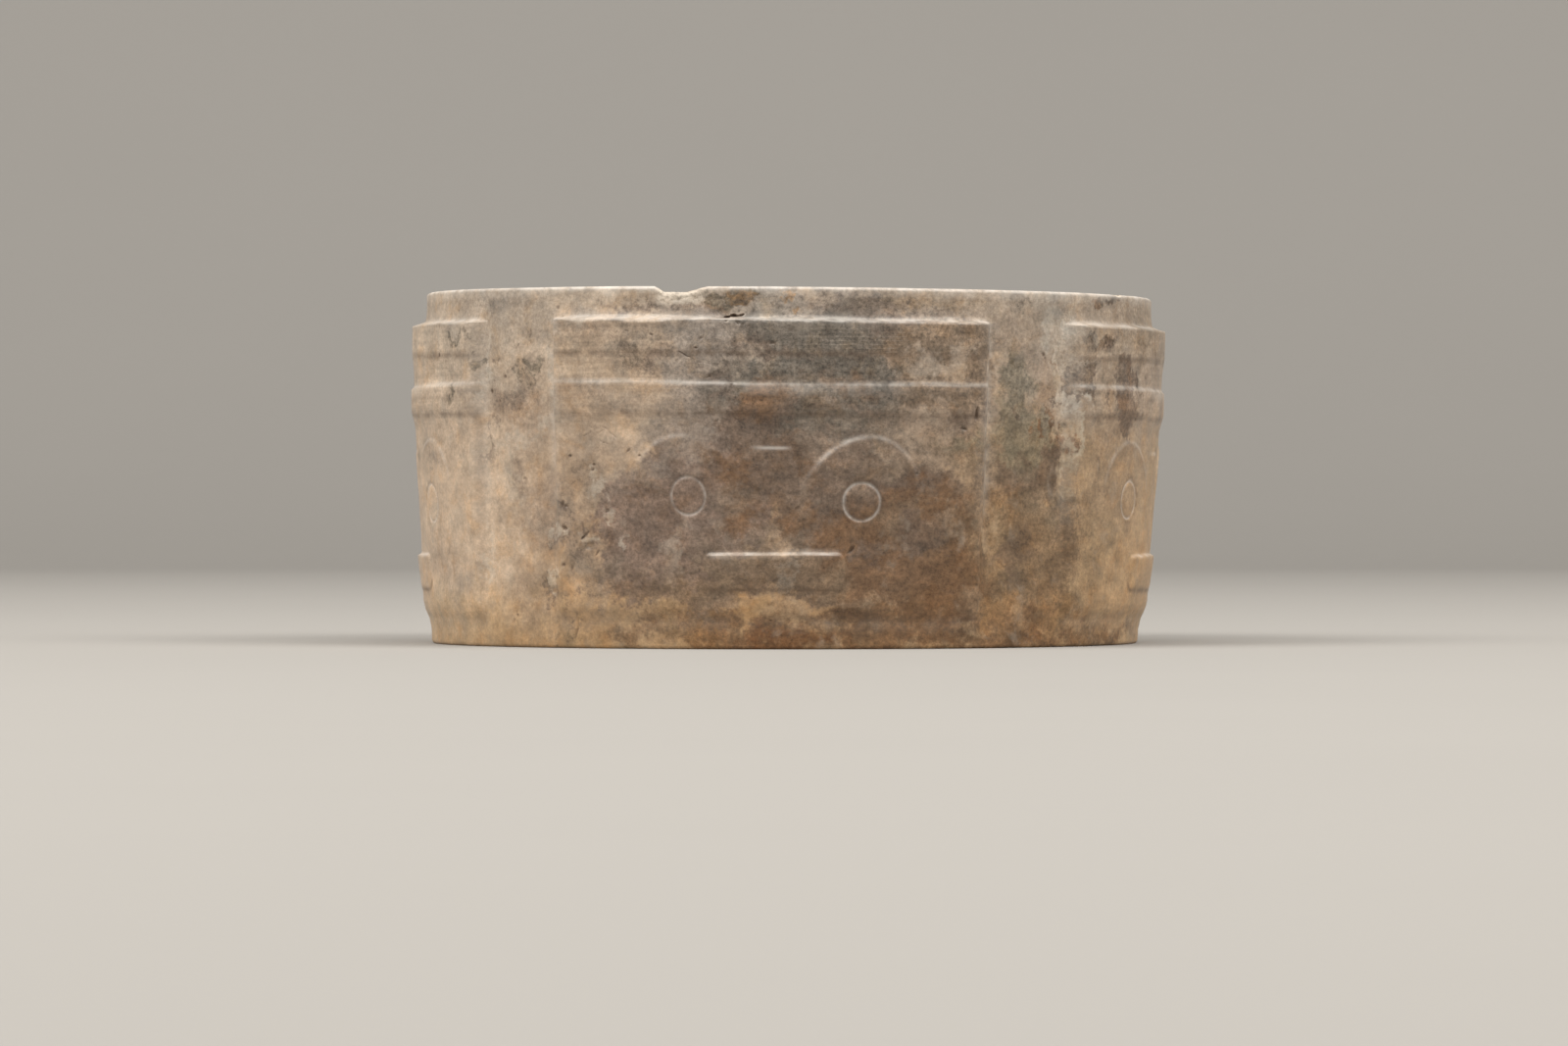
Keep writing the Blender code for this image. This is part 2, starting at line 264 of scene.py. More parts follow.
def settle(angle, radius, height):
    """Places of the ring in metres, with its slight lean and slope."""
    across = radius * np.sin(np.radians(angle))
    lean = LEAN * (height - (BARS[0][0] + PANEL_HEAD) / 2) / HEIGHT
    rise = RIM_SLOPE * across / COLLAR_HEAD_RADIUS * height / HEIGHT
    depth = -radius * np.cos(np.radians(angle))
    return np.stack((across + lean, depth, height - rise), axis=-1) * MM


# ---- the carving --------------------------------------------------------------------------------


class Wall:
    """What the carving and the damage make of the wall, place by place."""

    def __init__(self, count):
        self.lift = np.zeros(count)
        self.pale = np.zeros(count)
        self.soil = np.zeros(count)
        self.panels = np.zeros(count)
        self.nearest = np.full(count, FAR)

    def wear_and_highlight(self, distance, width, strength):
        """Pales the stone on a line and beside it: worn edges and drilled grooves, and painted highlights on
        edges that face up.
        """
        self.pale += ridge(distance, width) * strength

    def add_soil_and_shade(self, distance, width, strength):
        """Darkens the stone on a line and beside it: soil in hollows, and painted shade under raised edges.
        """
        self.soil += ridge(distance, width) * strength

    def pass_line(self, distance):
        """Notes how far the nearest curved or upright carved line is."""
        self.nearest = np.minimum(self.nearest, np.abs(distance))


def lid_inset(across, up, side):
    """How far inside an eyelid's egg-shaped edge a place is, from the lid's middle."""
    tilt = radians(LID_TILT)
    outward = side * across * cos(tilt) + up * sin(tilt)
    upward = up * cos(tilt) - side * across * sin(tilt)
    half_height = LID_HALF_HEIGHT * (1 + LID_EGG * np.clip(outward / LID_HALF_LENGTH, -1.2, 1.2))
    reach = np.hypot(outward / LID_HALF_LENGTH, upward / half_height)
    steepness = np.hypot(outward / LID_HALF_LENGTH**2, upward / half_height**2) + 1e-6
    return reach * (1 - reach) / steepness


def bridge_inset(across, up):
    """How far inside the bridge's edge a place is, from its middle."""
    half_height = (BRIDGE_HEAD - BRIDGE_FOOT) / 2
    share = np.clip((1 + up / half_height) / 2, 0.0, 1.0)
    half_width = between(BRIDGE_HALF_FOOT, BRIDGE_HALF_HEAD, share)
    reach = ((across / half_width) ** 4 + (up / half_height) ** 4) ** 0.25
    return (1 - reach) * BRIDGE_HALF_MEAN


def mouth_inset(across, up):
    """How far inside the mouth's rounded bar a place is, from its middle."""
    x = np.abs(across) - MOUTH_HALF_LENGTH + MOUTH_CORNER
    y = np.abs(up) - (MOUTH_HEAD - MOUTH_FOOT) / 2 + MOUTH_CORNER
    outside = np.hypot(np.maximum(x, 0.0), np.maximum(y, 0.0))
    return MOUTH_CORNER - outside - np.minimum(np.maximum(x, y), 0.0)


# How far the bars' upper edges sag, where along the panel, and how far from there it shows.
BAR_SAG = 0.35
BAR_SAG_MIDDLE = 3.0
BAR_SAG_REACH = 13.0
# What is left of a bar's relief at its ends, and how far in from them it is whole.
BAR_END_LEFT = 0.25
BAR_END_REACH = 7.0
# Slopes at the foot of a panel and of a bar, in widths of a faded edge.
PANEL_FOOT_SLOPE = 2.6
BAR_FOOT_SLOPE = 2.2
# How high the fillet over the top bar reaches, and how softly the streaks end at a panel's sides.
FILLET_REACH = 0.7
STREAKS_FADE = 3.0
# Relief of the upper ground and paleness of the side edges, on a fresh panel and on a worn one.
UPPER_GROUND_RELIEF = (0.28, 0.5)
SIDE_PALENESS = (0.25, 0.42)
# How far the lower ground of a worn panel has sunk, and the share of the bridge's relief that is left.
LOWER_GROUND_WEAR = 0.35
BRIDGE_LEFT = 0.35


def carve_ground(wall, panel, turn, level, side, on_panel, form):
    """A panel's sides, foot and level bars; gives how far the ground rises over its plain radius."""
    crisp = form.crisp_edge * PER_METRE
    faded = form.faded_edge * PER_METRE
    upright = swell((level - 8) / 16) * slope(PANEL_HEAD - level, 0.5)
    wall.wear_and_highlight(side + 0.15, width=1.0, strength=upright * between(*SIDE_PALENESS, panel.worn_flat))
    above = np.maximum(level - PANEL_HEAD, 0.0)
    # Paler ledge over the top bar: partly wear, partly a painted highlight on the ledge that faces up.
    wall.wear_and_highlight(above, width=0.7, strength=on_panel * (level >= PANEL_HEAD) * 0.2)
    # A slightly darker band on the collar, about a millimetre above the top ledge, stronger on worn panels.
    wall.add_soil_and_shade(above - 1.0, width=0.7, strength=on_panel * 0.12 * panel.worn_flat)
    wall.wear_and_highlight(level - PANEL_FOOT + 0.7, width=0.9, strength=on_panel * 0.12)
    # A faint dark line just under the panel's foot: painted shade under the ledge.
    wall.add_soil_and_shade(level - PANEL_FOOT + 0.1, width=0.2, strength=on_panel * 0.1)

    # The bars' upper edges sag a little at the middle, and their ends are worn flush.
    sag = BAR_SAG * ridge(turn * ARC - BAR_SAG_MIDDLE, BAR_SAG_REACH)
    flush = between(BAR_END_LEFT, 1.0, swell(side / BAR_END_REACH))
    rise = between(*UPPER_GROUND_RELIEF, panel.worn_flat) * swell((level - 11) / 15)
    rise = rise - LOWER_GROUND_WEAR * panel.worn_flat * (1 - swell((level - 3) / 9))
    for foot, head in BARS:
        head = head - sag * (1.0 if head < PANEL_HEAD else 0.5)
        bar = slope(level - foot + 0.3, BAR_FOOT_SLOPE * faded) * slope(head - level, crisp)
        rise = between(rise, BAR_RADIUS - ground_radius(level), bar * flush)
        # A pale line along each bar's upper edge: partly wear, partly a painted highlight on the edge that
        # faces up.
        wall.wear_and_highlight(level - head, width=0.28, strength=on_panel * 0.55)
        # A dark line just under each bar: partly soil, partly painted shade under the bar.
        wall.add_soil_and_shade(level - foot + 0.05, width=0.35, strength=on_panel * 0.55)
        wall.add_soil_and_shade(level - head + 0.75, width=0.35, strength=on_panel * 0.16)
    return rise


def carve_eye(wall, panel, turn, level, eye, form):
    """An eyelid and its drilled pupil, at the left for -1 and at the right for 1; gives their relief."""
    across = (turn - panel.mask_shift - eye * PUPIL_OFFSET) * ARC
    up = level - LID_HEIGHT + panel.mask_drop
    inset = lid_inset(across + eye * LID_INWARD, up, eye)
    upward = swell(up / LID_HALF_HEIGHT * 0.8 + 0.4)
    if eye < 0:
        fresh = 0.6 * swell((1.5 - across) / 3) * swell((across + 6.5) / 3)
        narrow, ring_paleness = 0.9, 0.62
    else:
        fresh = between(0.4, 1.0, swell(0.7 - across / LID_HALF_LENGTH))
        narrow, ring_paleness = 0.97, 0.75
    strength = LID_RELIEF * between(0.3, between(0.25, 0.6, fresh), upward)
    relief = strength * slope(inset, between(3.2, 0.8, upward))
    fresh = between(0.6, fresh, panel.worn_flat)
    # A pale line round the lid, strongest on its upper arc: partly wear, partly a painted highlight on the
    # edge that faces up.
    wall.wear_and_highlight(inset, width=0.27, strength=swell(up / LID_HALF_HEIGHT * 1.1 + 0.12) * fresh * 0.5)
    wall.add_soil_and_shade(inset - 0.5, width=0.6, strength=upward * 0.25)

    groove = form.groove_width * PER_METRE
    oval = between(1.0, narrow, min(panel.worn_flat * 2, 1.0))
    ring = np.hypot(across / oval, level - PUPIL_HEIGHT + eye * PUPIL_DROP + panel.mask_drop) - PUPIL_RADIUS
    wall.wear_and_highlight(ring, width=groove * 0.36, strength=ring_paleness)
    wall.add_soil_and_shade(ring - groove * 0.8, width=groove * 0.35, strength=0.35)
    wall.pass_line(inset)
    wall.pass_line(ring)
    return relief - form.groove_depth * PER_METRE * ridge(ring, groove / 2)


def carve_bridge(wall, panel, turn, level):
    """The bridge between the eyes; gives its relief."""
    across = (turn - panel.mask_shift - BRIDGE_SHIFT) * ARC
    up = level - (BRIDGE_HEAD + BRIDGE_FOOT) / 2 + panel.mask_drop
    inset = bridge_inset(across, up)
    along_head = slope(2.0 - np.abs(across + 1.1), 1.6)
    # A pale line along the bridge's upper edge: partly wear, partly a painted highlight.
    wall.wear_and_highlight(up - (BRIDGE_HEAD - BRIDGE_FOOT) / 2, width=0.2, strength=along_head * 0.55)
    # Painted shade along the upper right side of the bridge.
    wall.add_soil_and_shade(inset + 0.2, width=0.45, strength=(across > 0) * swell(up / 2) * 0.3)
    wall.pass_line(inset)
    edge = between(2.0, 0.6, swell(up / 3.4))
    return BRIDGE_LEFT * BRIDGE_RELIEF * slope(inset, edge) * swell(up / 4 + 0.9)


def carve_mouth(wall, panel, turn, level, form):
    """The mouth's bar, crisp above and faded below and at its ends; gives its relief."""
    across = (turn - panel.mask_shift) * ARC
    up = level - (MOUTH_HEAD + MOUTH_FOOT) / 2 + panel.mask_drop
    inset = mouth_inset(across, up)
    from_end = MOUTH_HALF_LENGTH - np.abs(across)
    # A pale line along the mouth's upper edge: partly wear, partly a painted highlight on the edge that faces
    # up.
    wall.wear_and_highlight(up - (MOUTH_HEAD - MOUTH_FOOT) / 2, width=0.22, strength=slope(from_end - 0.8, 1.4) * 0.66)
    # A dark line under the mouth's bar: partly soil, partly painted shade under the bar.
    wall.add_soil_and_shade(inset + 0.1, width=0.3, strength=swell(-up - 0.5) * 0.6)
    wall.pass_line(inset)
    strength = MOUTH_RELIEF * between(0.4, 1.0, swell((up + 2.2) / 4.4)) * swell((from_end + 0.4) / 1.8)
    return strength * slope(inset, between(1.4, form.crisp_edge * PER_METRE, swell(up / 2 + 0.5)))


def carve(angle, height, form):
    """The wall at places given by angle and height, carved out of the plain collar."""
    wall = Wall(len(angle))
    for panel in PANELS:
        turn = turned_from(angle, panel.centre)
        level = height / (1 - panel.fall * turn / panel.width / PANEL_HEAD)
        side = (panel.width / 2 - np.abs(turn)) * ARC
        on_panel = slope(side, form.riser_width * PER_METRE)
        wall.panels = np.maximum(wall.panels, slope(side, STREAKS_FADE))
        in_height = (level > PANEL_FOOT - 1) & (level < PANEL_HEAD + 1)
        wall.pass_line(np.where(in_height, side, FAR))

        rise = carve_ground(wall, panel, turn, level, side, on_panel, form)
        for eye in (-1, 1):
            rise = rise + carve_eye(wall, panel, turn, level, eye, form)
        rise = rise + carve_bridge(wall, panel, turn, level) + carve_mouth(wall, panel, turn, level, form)

        foot = slope(level - PANEL_FOOT, PANEL_FOOT_SLOPE * form.faded_edge * PER_METRE)
        body = on_panel * foot * slope(PANEL_HEAD - level, form.crisp_edge * PER_METRE)
        wall.lift += body * (ground_radius(level) - collar_radius(height) + rise)
        # A fillet between the top bar and the collar over it.
        above = np.maximum(level - PANEL_HEAD, 0.0)
        fillet = form.fillet * PER_METRE * np.exp(-above / FILLET_REACH) * on_panel
        wall.lift = np.maximum(wall.lift, fillet * (level > PANEL_HEAD - 1))
    return wall


# ---- the damage ---------------------------------------------------------------------------------


def dent_list(form):
    """The wall's known dents, and small pits strewn in loose groups all round it."""
    dents = list(DENTS)
    dice = random.Random(form.pit_seed)
    for _ in range(form.pit_groups):
        along = dice.uniform(-180, 180) * ARC
        up = dice.uniform(2.0, HEIGHT - 1.5)
        for _ in range(dice.randint(1, 6)):
            size = dice.uniform(0.1, 0.24)
            place = (along + dice.gauss(0, 1.5), up + dice.gauss(0, 1.6))
            turn = dice.uniform(0, 180)
            depth = size * dice.uniform(0.3, 0.6)
            dents.append(Dent(*place, size * dice.uniform(1, 1.8), size, turn, depth, dice.uniform(0.2, 0.9)))
    return dents


def dent_reach(angle, height, dent):
    """0 at a dent's middle and 1 at its edge."""
    across = turned_from(angle, dent.along / ARC) * ARC
    up = height - dent.up
    turn = radians(dent.turn)
    along = across * cos(turn) + up * sin(turn)
    aside = up * cos(turn) - across * sin(turn)
    return np.hypot(along / dent.half_length, aside / dent.half_width)


def crack_distance(angle, height, points):
    """How far a place on the wall is from a crack."""
    along = angle * ARC
    nearest = np.full_like(angle, FAR)
    for (x0, y0), (x1, y1) in zip(points, points[1:]):
        run, climb = x1 - x0, y1 - y0
        share = ((along - x0) * run + (height - y0) * climb) / (run**2 + climb**2)
        share = np.clip(share, 0.0, 1.0)
        nearest = np.minimum(nearest, np.hypot(along - x0 - share * run, height - y0 - share * climb))
    return nearest


def damage_wall(wall, angle, height, wander, grit, form):
    """Presses the dents and cracks into the wall, with ragged edges."""
    for dent in dent_list(form):
        reach = dent_reach(angle + wander * 0.3, height + grit * 0.2, dent)
        hollow = swell(1.25 - reach)
        wall.lift -= dent.depth * hollow
        wall.soil += dent.dark * swell(1.5 - reach)
        wall.pale *= 1 - 0.6 * hollow
    for points, width, depth in CRACKS:
        line = ridge(crack_distance(angle + grit * 0.3, height + grit * 0.15, points), width)
        wall.lift -= depth * line
        wall.soil += 0.8 * line * swell(0.6 + grit)


def notch_place(angle, radius):
    """The angle of the rim's outer edge straight in front of a place, as the notch runs straight back."""
    across = np.clip(radius * np.sin(np.radians(angle)) / COLLAR_HEAD_RADIUS, -1.0, 1.0)
    return np.where(np.abs(angle) < 90, np.degrees(np.arcsin(across)), 180.0)


def notch_depth(angle):
    angles, depths = zip(*NOTCH)
    return np.interp(angle, angles, depths)


def sink_notch(points, angle, radius, height, grit):
    """Sinks the rows near the rim into the notch, whose floor is rough and rises a little inwards.

    Returns the new heights, how rough and how broken each place is.
    """
    notch = notch_depth(notch_place(angle, radius) + grit * 0.25)
    is_near = notch > 0.02
    rubble = np.zeros_like(angle)
    rubble[is_near] = rough(points[is_near], size=0.55, seed=8)
    rubble[is_near] += 0.5 * rough(points[is_near], size=0.25, seed=9)
    inward = np.clip((COLLAR_HEAD_RADIUS - radius) / 10.0, 0.0, 1.0)
    notch = notch * (1 - 0.15 * inward)
    is_deep = swell(notch / NOTCH_BREAK)
    height = height - (notch + 0.1 * rubble * is_deep) * swell((height - HEIGHT + NOTCH_REACH) / NOTCH_REACH)
    return height, rubble, is_deep * swell((height - HEIGHT + NOTCH_FACE) / 1.2)


def chip_rim(placed, broken):
    """Pushes the places inside each rim chip out to its ragged hollow, and notes the broken stone."""
    for number, chip in enumerate(RIM_CHIPS):
        turn = radians(chip.angle)
        centre = settle(chip.angle, COLLAR_HEAD_RADIUS - 0.1, HEIGHT + 0.1) / MM
        offset = placed - centre
        local = np.stack(
            (
                (offset[:, 0] * cos(turn) + offset[:, 1] * sin(turn)) / chip.along,
                (offset[:, 1] * cos(turn) - offset[:, 0] * sin(turn)) / chip.across,
                offset[:, 2] / chip.down,
            ),
            axis=-1,
        )
        reach = np.linalg.norm(local, axis=1)
        near = reach < 1.6
        ragged = np.ones_like(reach)
        ragged[near] += 0.22 * rough(placed[near], size=0.7, seed=5 + number)
        ragged[near] += 0.12 * rough(placed[near], size=0.3, seed=6)
        hit = reach < ragged
        scale = (ragged[hit] / np.maximum(reach[hit], 1e-3))[:, None]
        placed[hit] = centre + offset[hit] * scale
        broken[near] = np.maximum(broken[near], swell((ragged[near] + 0.1 - reach[near]) * 5))


# The bore's drilled step and rings: how deep they are, how high the step is, and their spacing.
DRILL_STEP = 0.12
DRILL_STEP_HEIGHT = 19.5
DRILL_RING_DEPTH = 0.04
DRILL_RING_SPACING = 2.0268


# ---- the mesh -----------------------------------------------------------------------------------

# How far beside a level carved line the mesh's rows are close together.
LINE_REACH = 0.55
# Steps round a worn edge's section, and rows across the rim and the foot.
EDGE_STEPS = 4
RIM_ROWS = 7
FOOT_ROWS = 6
# Passes that quarter the mesh's cells: how near to the carving and damage, and whether the notch and
# the strewn pits count too.
REFINING = ((1.1, True), (0.5, True), (0.25, False))


def wall_rows(form):
    """Heights of the mesh's rows up the outer wall, close together at the level carved lines."""
    lines = [PANEL_FOOT, PANEL_HEAD] + [height for bar in BARS for height in bar]
    stops = {COLLAR_EDGE: form.coarse_cell, HEIGHT - COLLAR_EDGE: form.coarse_cell}
    for line in lines:
        stops[line - LINE_REACH] = form.line_cell
        stops[line + LINE_REACH] = form.coarse_cell
    rows = []
    heights = sorted(stops)
    for low, high in zip(heights, heights[1:]):
        count = max(1, round((high - low) / (stops[low] * PER_METRE)))
        rows.extend(between(low, high, i / count) for i in range(count))
    return rows + [heights[-1]]


def edge_points(centre, radius, start):
    """Points of a rounded edge's section: a quarter turn from a direction in degrees."""
    turns = [radians(between(start, start + 90, i / EDGE_STEPS)) for i in range(EDGE_STEPS + 1)]
    return [(centre[0] + radius * cos(turn), centre[1] + radius * sin(turn)) for turn in turns]


def ring_section(form):
    """The fine ring's section as (radius, height): up the outside and down the bore."""
    foot = (COLLAR_FOOT_RADIUS - COLLAR_EDGE, COLLAR_EDGE)
    head = (collar_radius(HEIGHT) - COLLAR_EDGE, HEIGHT - COLLAR_EDGE)
    mouth = BORE_RADIUS + BORE_FLARE + BORE_EDGE
    section = edge_points(foot, COLLAR_EDGE, -90)
    section += [(collar_radius(height), height) for height in wall_rows(form)[1:-1]]
    section += edge_points(head, COLLAR_EDGE, 0)
    section += [(between(head[0], mouth, i / RIM_ROWS), HEIGHT) for i in range(1, RIM_ROWS)]
    section += edge_points((mouth, HEIGHT - BORE_EDGE), BORE_EDGE, 90)
    for i in range(1, form.bore_rows):
        share = i / form.bore_rows
        flare = BORE_FLARE * (2 * share - 1) ** 2
        section.append((BORE_RADIUS + flare, between(HEIGHT - BORE_EDGE, BORE_EDGE, share)))
    section += edge_points((mouth, BORE_EDGE), BORE_EDGE, 180)
    section += [(between(mouth, foot[0], i / FOOT_ROWS), 0.0) for i in range(1, FOOT_ROWS)]
    return section


def plain_ring(form):
    bm = bmesh.new()
    section = [bm.verts.new((0.0, -radius, height)) for radius, height in ring_section(form)]
    edges = [bm.edges.new(pair) for pair in zip(section, section[1:] + section[:1])]
    bmesh.ops.spin(
        bm,
        geom=section + edges,
        cent=(0.0, 0.0, 0.0),
        axis=(0.0, 0.0, 1.0),
        angle=2 * pi,
        steps=form.steps_round,
        use_merge=True,
    )
    bmesh.ops.remove_doubles(bm, verts=bm.verts, dist=0.001)
    bmesh.ops.recalc_face_normals(bm, faces=bm.faces)
    return bm


def ring_places(points):
    """Angle, radius and height of points that are still on the plain ring."""
    angle = np.degrees(np.arctan2(points[:, 0], -points[:, 1]))
    return angle, np.hypot(points[:, 0], points[:, 1]), points[:, 2]


def refine(bm, form, reach, all_damage):
    """Quarters the faces that lie within reach of carved lines, dents, cracks and chips."""
    centres = np.array([face.calc_center_median() for face in bm.faces])
    angle, radius, height = ring_places(centres)
    nearest = carve(angle, height, form).nearest
    for dent in dent_list(form) if all_damage else DENTS:
        outside = (dent_reach(angle, height, dent) - 1) * dent.half_width
        nearest = np.minimum(nearest, np.maximum(outside, 0.0) + 0.25 * reach)
    for points, _, _ in CRACKS:
        nearest = np.minimum(nearest, crack_distance(angle, height, points))
    for chip in RIM_CHIPS:
        across = np.maximum(np.abs(turned_from(angle, chip.angle)) * ARC - chip.along, 0.0)
        nearest = np.minimum(nearest, np.hypot(across, np.maximum(HEIGHT - chip.down - height, 0.0)))
    # Nothing fine lies inside the collar's edge but the notch.
    nearest = np.where(radius > COLLAR_FOOT_RADIUS - 2.5, nearest, FAR)
    from_notch = np.abs(notch_place(angle, radius) - (NOTCH[0][0] + NOTCH[-1][0]) / 2)
    at_notch = (from_notch < (NOTCH[-1][0] - NOTCH[0][0]) / 2 + 1.5) & (height > HEIGHT - 2)
    chosen = (nearest < reach) | (at_notch & all_damage)
    edges = {edge for face, near in zip(bm.faces, chosen) if near for edge in face.edges}
    bmesh.ops.subdivide_edges(bm, edges=list(edges), cuts=1, use_grid_fill=True)


def rough(points, size, seed):
    """Smooth noise from -1 to 1 at points, with features of about the given size."""
    shift = Vector((seed * 31.7, seed * 12.9, seed * 7.3))
    return np.array([noise.noise(Vector(point) / size + shift) for point in points])


def shape_ring(mesh, form):
    """Moves the plain ring's points to the carved, worn and chipped surface, and notes the wear and soil with
    the painted highlights and shade.
    """
    points = np.empty(len(mesh.vertices) * 3)
    mesh.vertices.foreach_get("co", points)
    points = points.reshape(-1, 3)
    angle, radius, height = ring_places(points)
    # Shares of the outer wall and of the bore at each point, with the rim and the foot between them.
    is_outer = swell((radius - COLLAR_FOOT_RADIUS + 3.5) / 3.0)
    is_bore = swell((BORE_RADIUS + 2.5 - radius) / 1.0)
    swells = rough(points, size=9.0, seed=1) * 0.6 + rough(points, size=3.2, seed=2) * 0.25
    grit = rough(points, size=1.1, seed=3)
    wander = rough(points, size=5.0, seed=4)

    wall = carve(angle + wander * 0.12, height + wander * 0.09, form)
    damage_wall(wall, angle, height, wander, grit, form)
    # A pale line along the rim's outer edge: partly wear, partly a painted highlight.
    wall.wear_and_highlight(np.hypot(height - HEIGHT, radius - COLLAR_HEAD_RADIUS + 0.2), width=0.5, strength=0.9)

    # The bore was drilled from both ends, which leaves a small step half way and faint level rings.
    waves = form.waviness * PER_METRE * (swells + 0.2 * grit)
    drilled = DRILL_STEP * swell((height - DRILL_STEP_HEIGHT) / 0.5)
    drilled += DRILL_RING_DEPTH * np.sin(height * 2 * pi / DRILL_RING_SPACING + wander)
    radius = radius + is_outer * (wall.lift + waves) - is_bore * (waves + drilled)
    is_rim = swell((height - HEIGHT + 0.2) / 0.2)
    height = height + is_rim * 0.05 * (swells - 0.5) * (1 - is_bore)
    height, rubble, broken = sink_notch(points, angle, radius, height, grit)
    radius = radius - is_outer * broken * (0.12 + 0.12 * rubble)
    placed = settle(angle, radius, height) / MM
    chip_rim(placed, broken)
    wall.pale *= 1 - 0.5 * broken

    mesh.vertices.foreach_set("co", (placed * MM).ravel())
    # pale holds wear and painted highlights; the soil layer holds soil and painted shade.
    notes = {"pale": wall.pale, "soil": wall.soil, "broken": broken, "panel": wall.panels}
    for name, values in notes.items():
        layer = mesh.attributes.new(name, "FLOAT", "POINT")
        layer.data.foreach_set("value", np.clip(values, 0.0, 1.5).astype(np.float32))
    mesh.update()


# ---- shader helpers -----------------------------------------------------------------------------


class Nodes:
    """Adds nodes to a tree, column by column, and links them by socket name.

    A node is added after the nodes that feed it. The renderer works nodes out in that order, and a
    node that comes before its inputs would keep so many values waiting that the stone turns black.
    """

    def __init__(self, tree):
        self.tree = tree
        self.count = 0

    def add(self, kind, **values):
        node = self.tree.nodes.new(kind)
        node.location = (220 * (self.count % 9), -260 * (self.count // 9))
        self.count += 1
        for key, value in values.items():
            setattr(node, key, value)
        return node

    def join(self, source, target):
        self.tree.links.new(source, target)

    def feed(self, socket, value):
        if isinstance(value, bpy.types.NodeSocket):
            self.join(value, socket)
        else:
            socket.default_value = value

    def math(self, operation, *values, clamp=False):
        node = self.add("ShaderNodeMath", operation=operation, use_clamp=clamp)
        for socket, value in zip(node.inputs, values):
            self.feed(socket, value)
        return node.outputs[0]

    def times(self, first, second, clamp=False):
        return self.math("MULTIPLY", first, second, clamp=clamp)

    def vector(self, operation, *values):
        node = self.add("ShaderNodeVectorMath", operation=operation)
        for socket, value in zip(node.inputs, values):
            self.feed(socket, value)
        return node.outputs["Value" if operation in {"LENGTH", "DOT_PRODUCT"} else "Vector"]

    def vector_part(self, vector, axis):
        node = self.add("ShaderNodeSeparateXYZ")
        self.join(vector, node.inputs[0])
        return node.outputs[axis]

    def combine(self, x, y):
        node = self.add("ShaderNodeCombineXYZ")
        self.join(x, node.inputs["X"])
        self.join(y, node.inputs["Y"])
        return node.outputs[0]

    def attribute(self, name):
        return self.add("ShaderNodeAttribute", attribute_name=name).outputs["Fac"]

    def grade(self, value, low, high, to_low=0.0, to_high=1.0):
        """A soft slope that goes from one value at low to another at high."""
        node = self.add("ShaderNodeMapRange", interpolation_type="SMOOTHSTEP")
        for name, number in zip(("From Min", "From Max", "To Min", "To Max"), (low, high, to_low, to_high)):
            self.feed(node.inputs[name], number)
        self.feed(node.inputs["Value"], value)
        return node.outputs["Result"]

    def noise(self, place, scale, detail=4.0, roughness=0.55, distortion=0.0):
        node = self.add("ShaderNodeTexNoise")
        self.feed(node.inputs["Vector"], place)
        node.inputs["Scale"].default_value = scale
        node.inputs["Detail"].default_value = detail
        node.inputs["Roughness"].default_value = roughness
        node.inputs["Distortion"].default_value = distortion
        return node.outputs

    def centred_noise(self, place, scale, **settings):
        """Noise that wavers round nothing instead of round a half."""
        return self.math("SUBTRACT", self.noise(place, scale, **settings)["Fac"], 0.5)

    def blend(self, factor, first, second, mode="MIX"):
        node = self.add("ShaderNodeMix", data_type="RGBA", blend_type=mode)
        self.feed(node.inputs["Factor"], factor)
        self.feed(node.inputs["A"], first)
        self.feed(node.inputs["B"], second)
        return node.outputs["Result"]

    def tint(self, factor, colour, tint):
        """A colour multiplied by a tint, as far as the factor says."""
        return self.blend(factor, colour, self.blend(1.0, colour, tint, mode="MULTIPLY"))


def wall_place_group():
    """Places round the wall in millimetres: along it from the front, and up. Ragged ones wander."""
    tree = bpy.data.node_groups.new("wall place", "ShaderNodeTree")
    for name in ("Stone", "Wall", "Ragged Wall"):
        tree.interface.new_socket(name, in_out="OUTPUT", socket_type="NodeSocketVector")
    nodes = Nodes(tree)
    out = nodes.add("NodeGroupOutput")
    stone = nodes.vector("SCALE", nodes.add("ShaderNodeTexCoord").outputs["Object"])
    stone.node.inputs["Scale"].default_value = PER_METRE
    axes = nodes.add("ShaderNodeSeparateXYZ")
    nodes.join(stone, axes.inputs[0])
    turn = nodes.math("ARCTAN2", axes.outputs["X"], nodes.times(axes.outputs["Y"], -1.0))
    wall = nodes.combine(nodes.times(turn, degrees(ARC)), axes.outputs["Z"])
    ragged = wall
    for scale, reach in WANDER:
        drift = nodes.noise(stone, scale, detail=2.0)["Color"]
        drift = nodes.vector("SUBTRACT", drift, (0.5, 0.5, 0.5))
        drift = nodes.vector("MULTIPLY", drift, (2 * reach, 2 * reach, 0.0))
        ragged = nodes.vector("ADD", ragged, drift)
    nodes.join(stone, out.inputs["Stone"])
    nodes.join(wall, out.inputs["Wall"])
    nodes.join(ragged, out.inputs["Ragged Wall"])
    return tree


def oval_depth(nodes, place, along, up, half_length, half_height, turn=0):
    """How far, in millimetres, places (along, up, 1) lie inside one oval."""
    narrow = min(half_length, half_height)
    right, rise = cos(radians(turn)), sin(radians(turn))
    wide, tall = narrow / half_length, narrow / half_height
    if turn:
        level = (right * wide, rise * wide, -(along * right + up * rise) * wide)
        plumb = (-rise * tall, right * tall, (along * rise - up * right) * tall)
        dots = [nodes.vector("DOT_PRODUCT", place, axis) for axis in (level, plumb)]
        offset = nodes.combine(*dots)
    else:
        offset = nodes.vector("MULTIPLY_ADD", place, (wide, tall, 0.0), (-along * wide, -up * tall, 0.0))
    return nodes.math("SUBTRACT", narrow, nodes.vector("LENGTH", offset))


# ---- the stone ----------------------------------------------------------------------------------

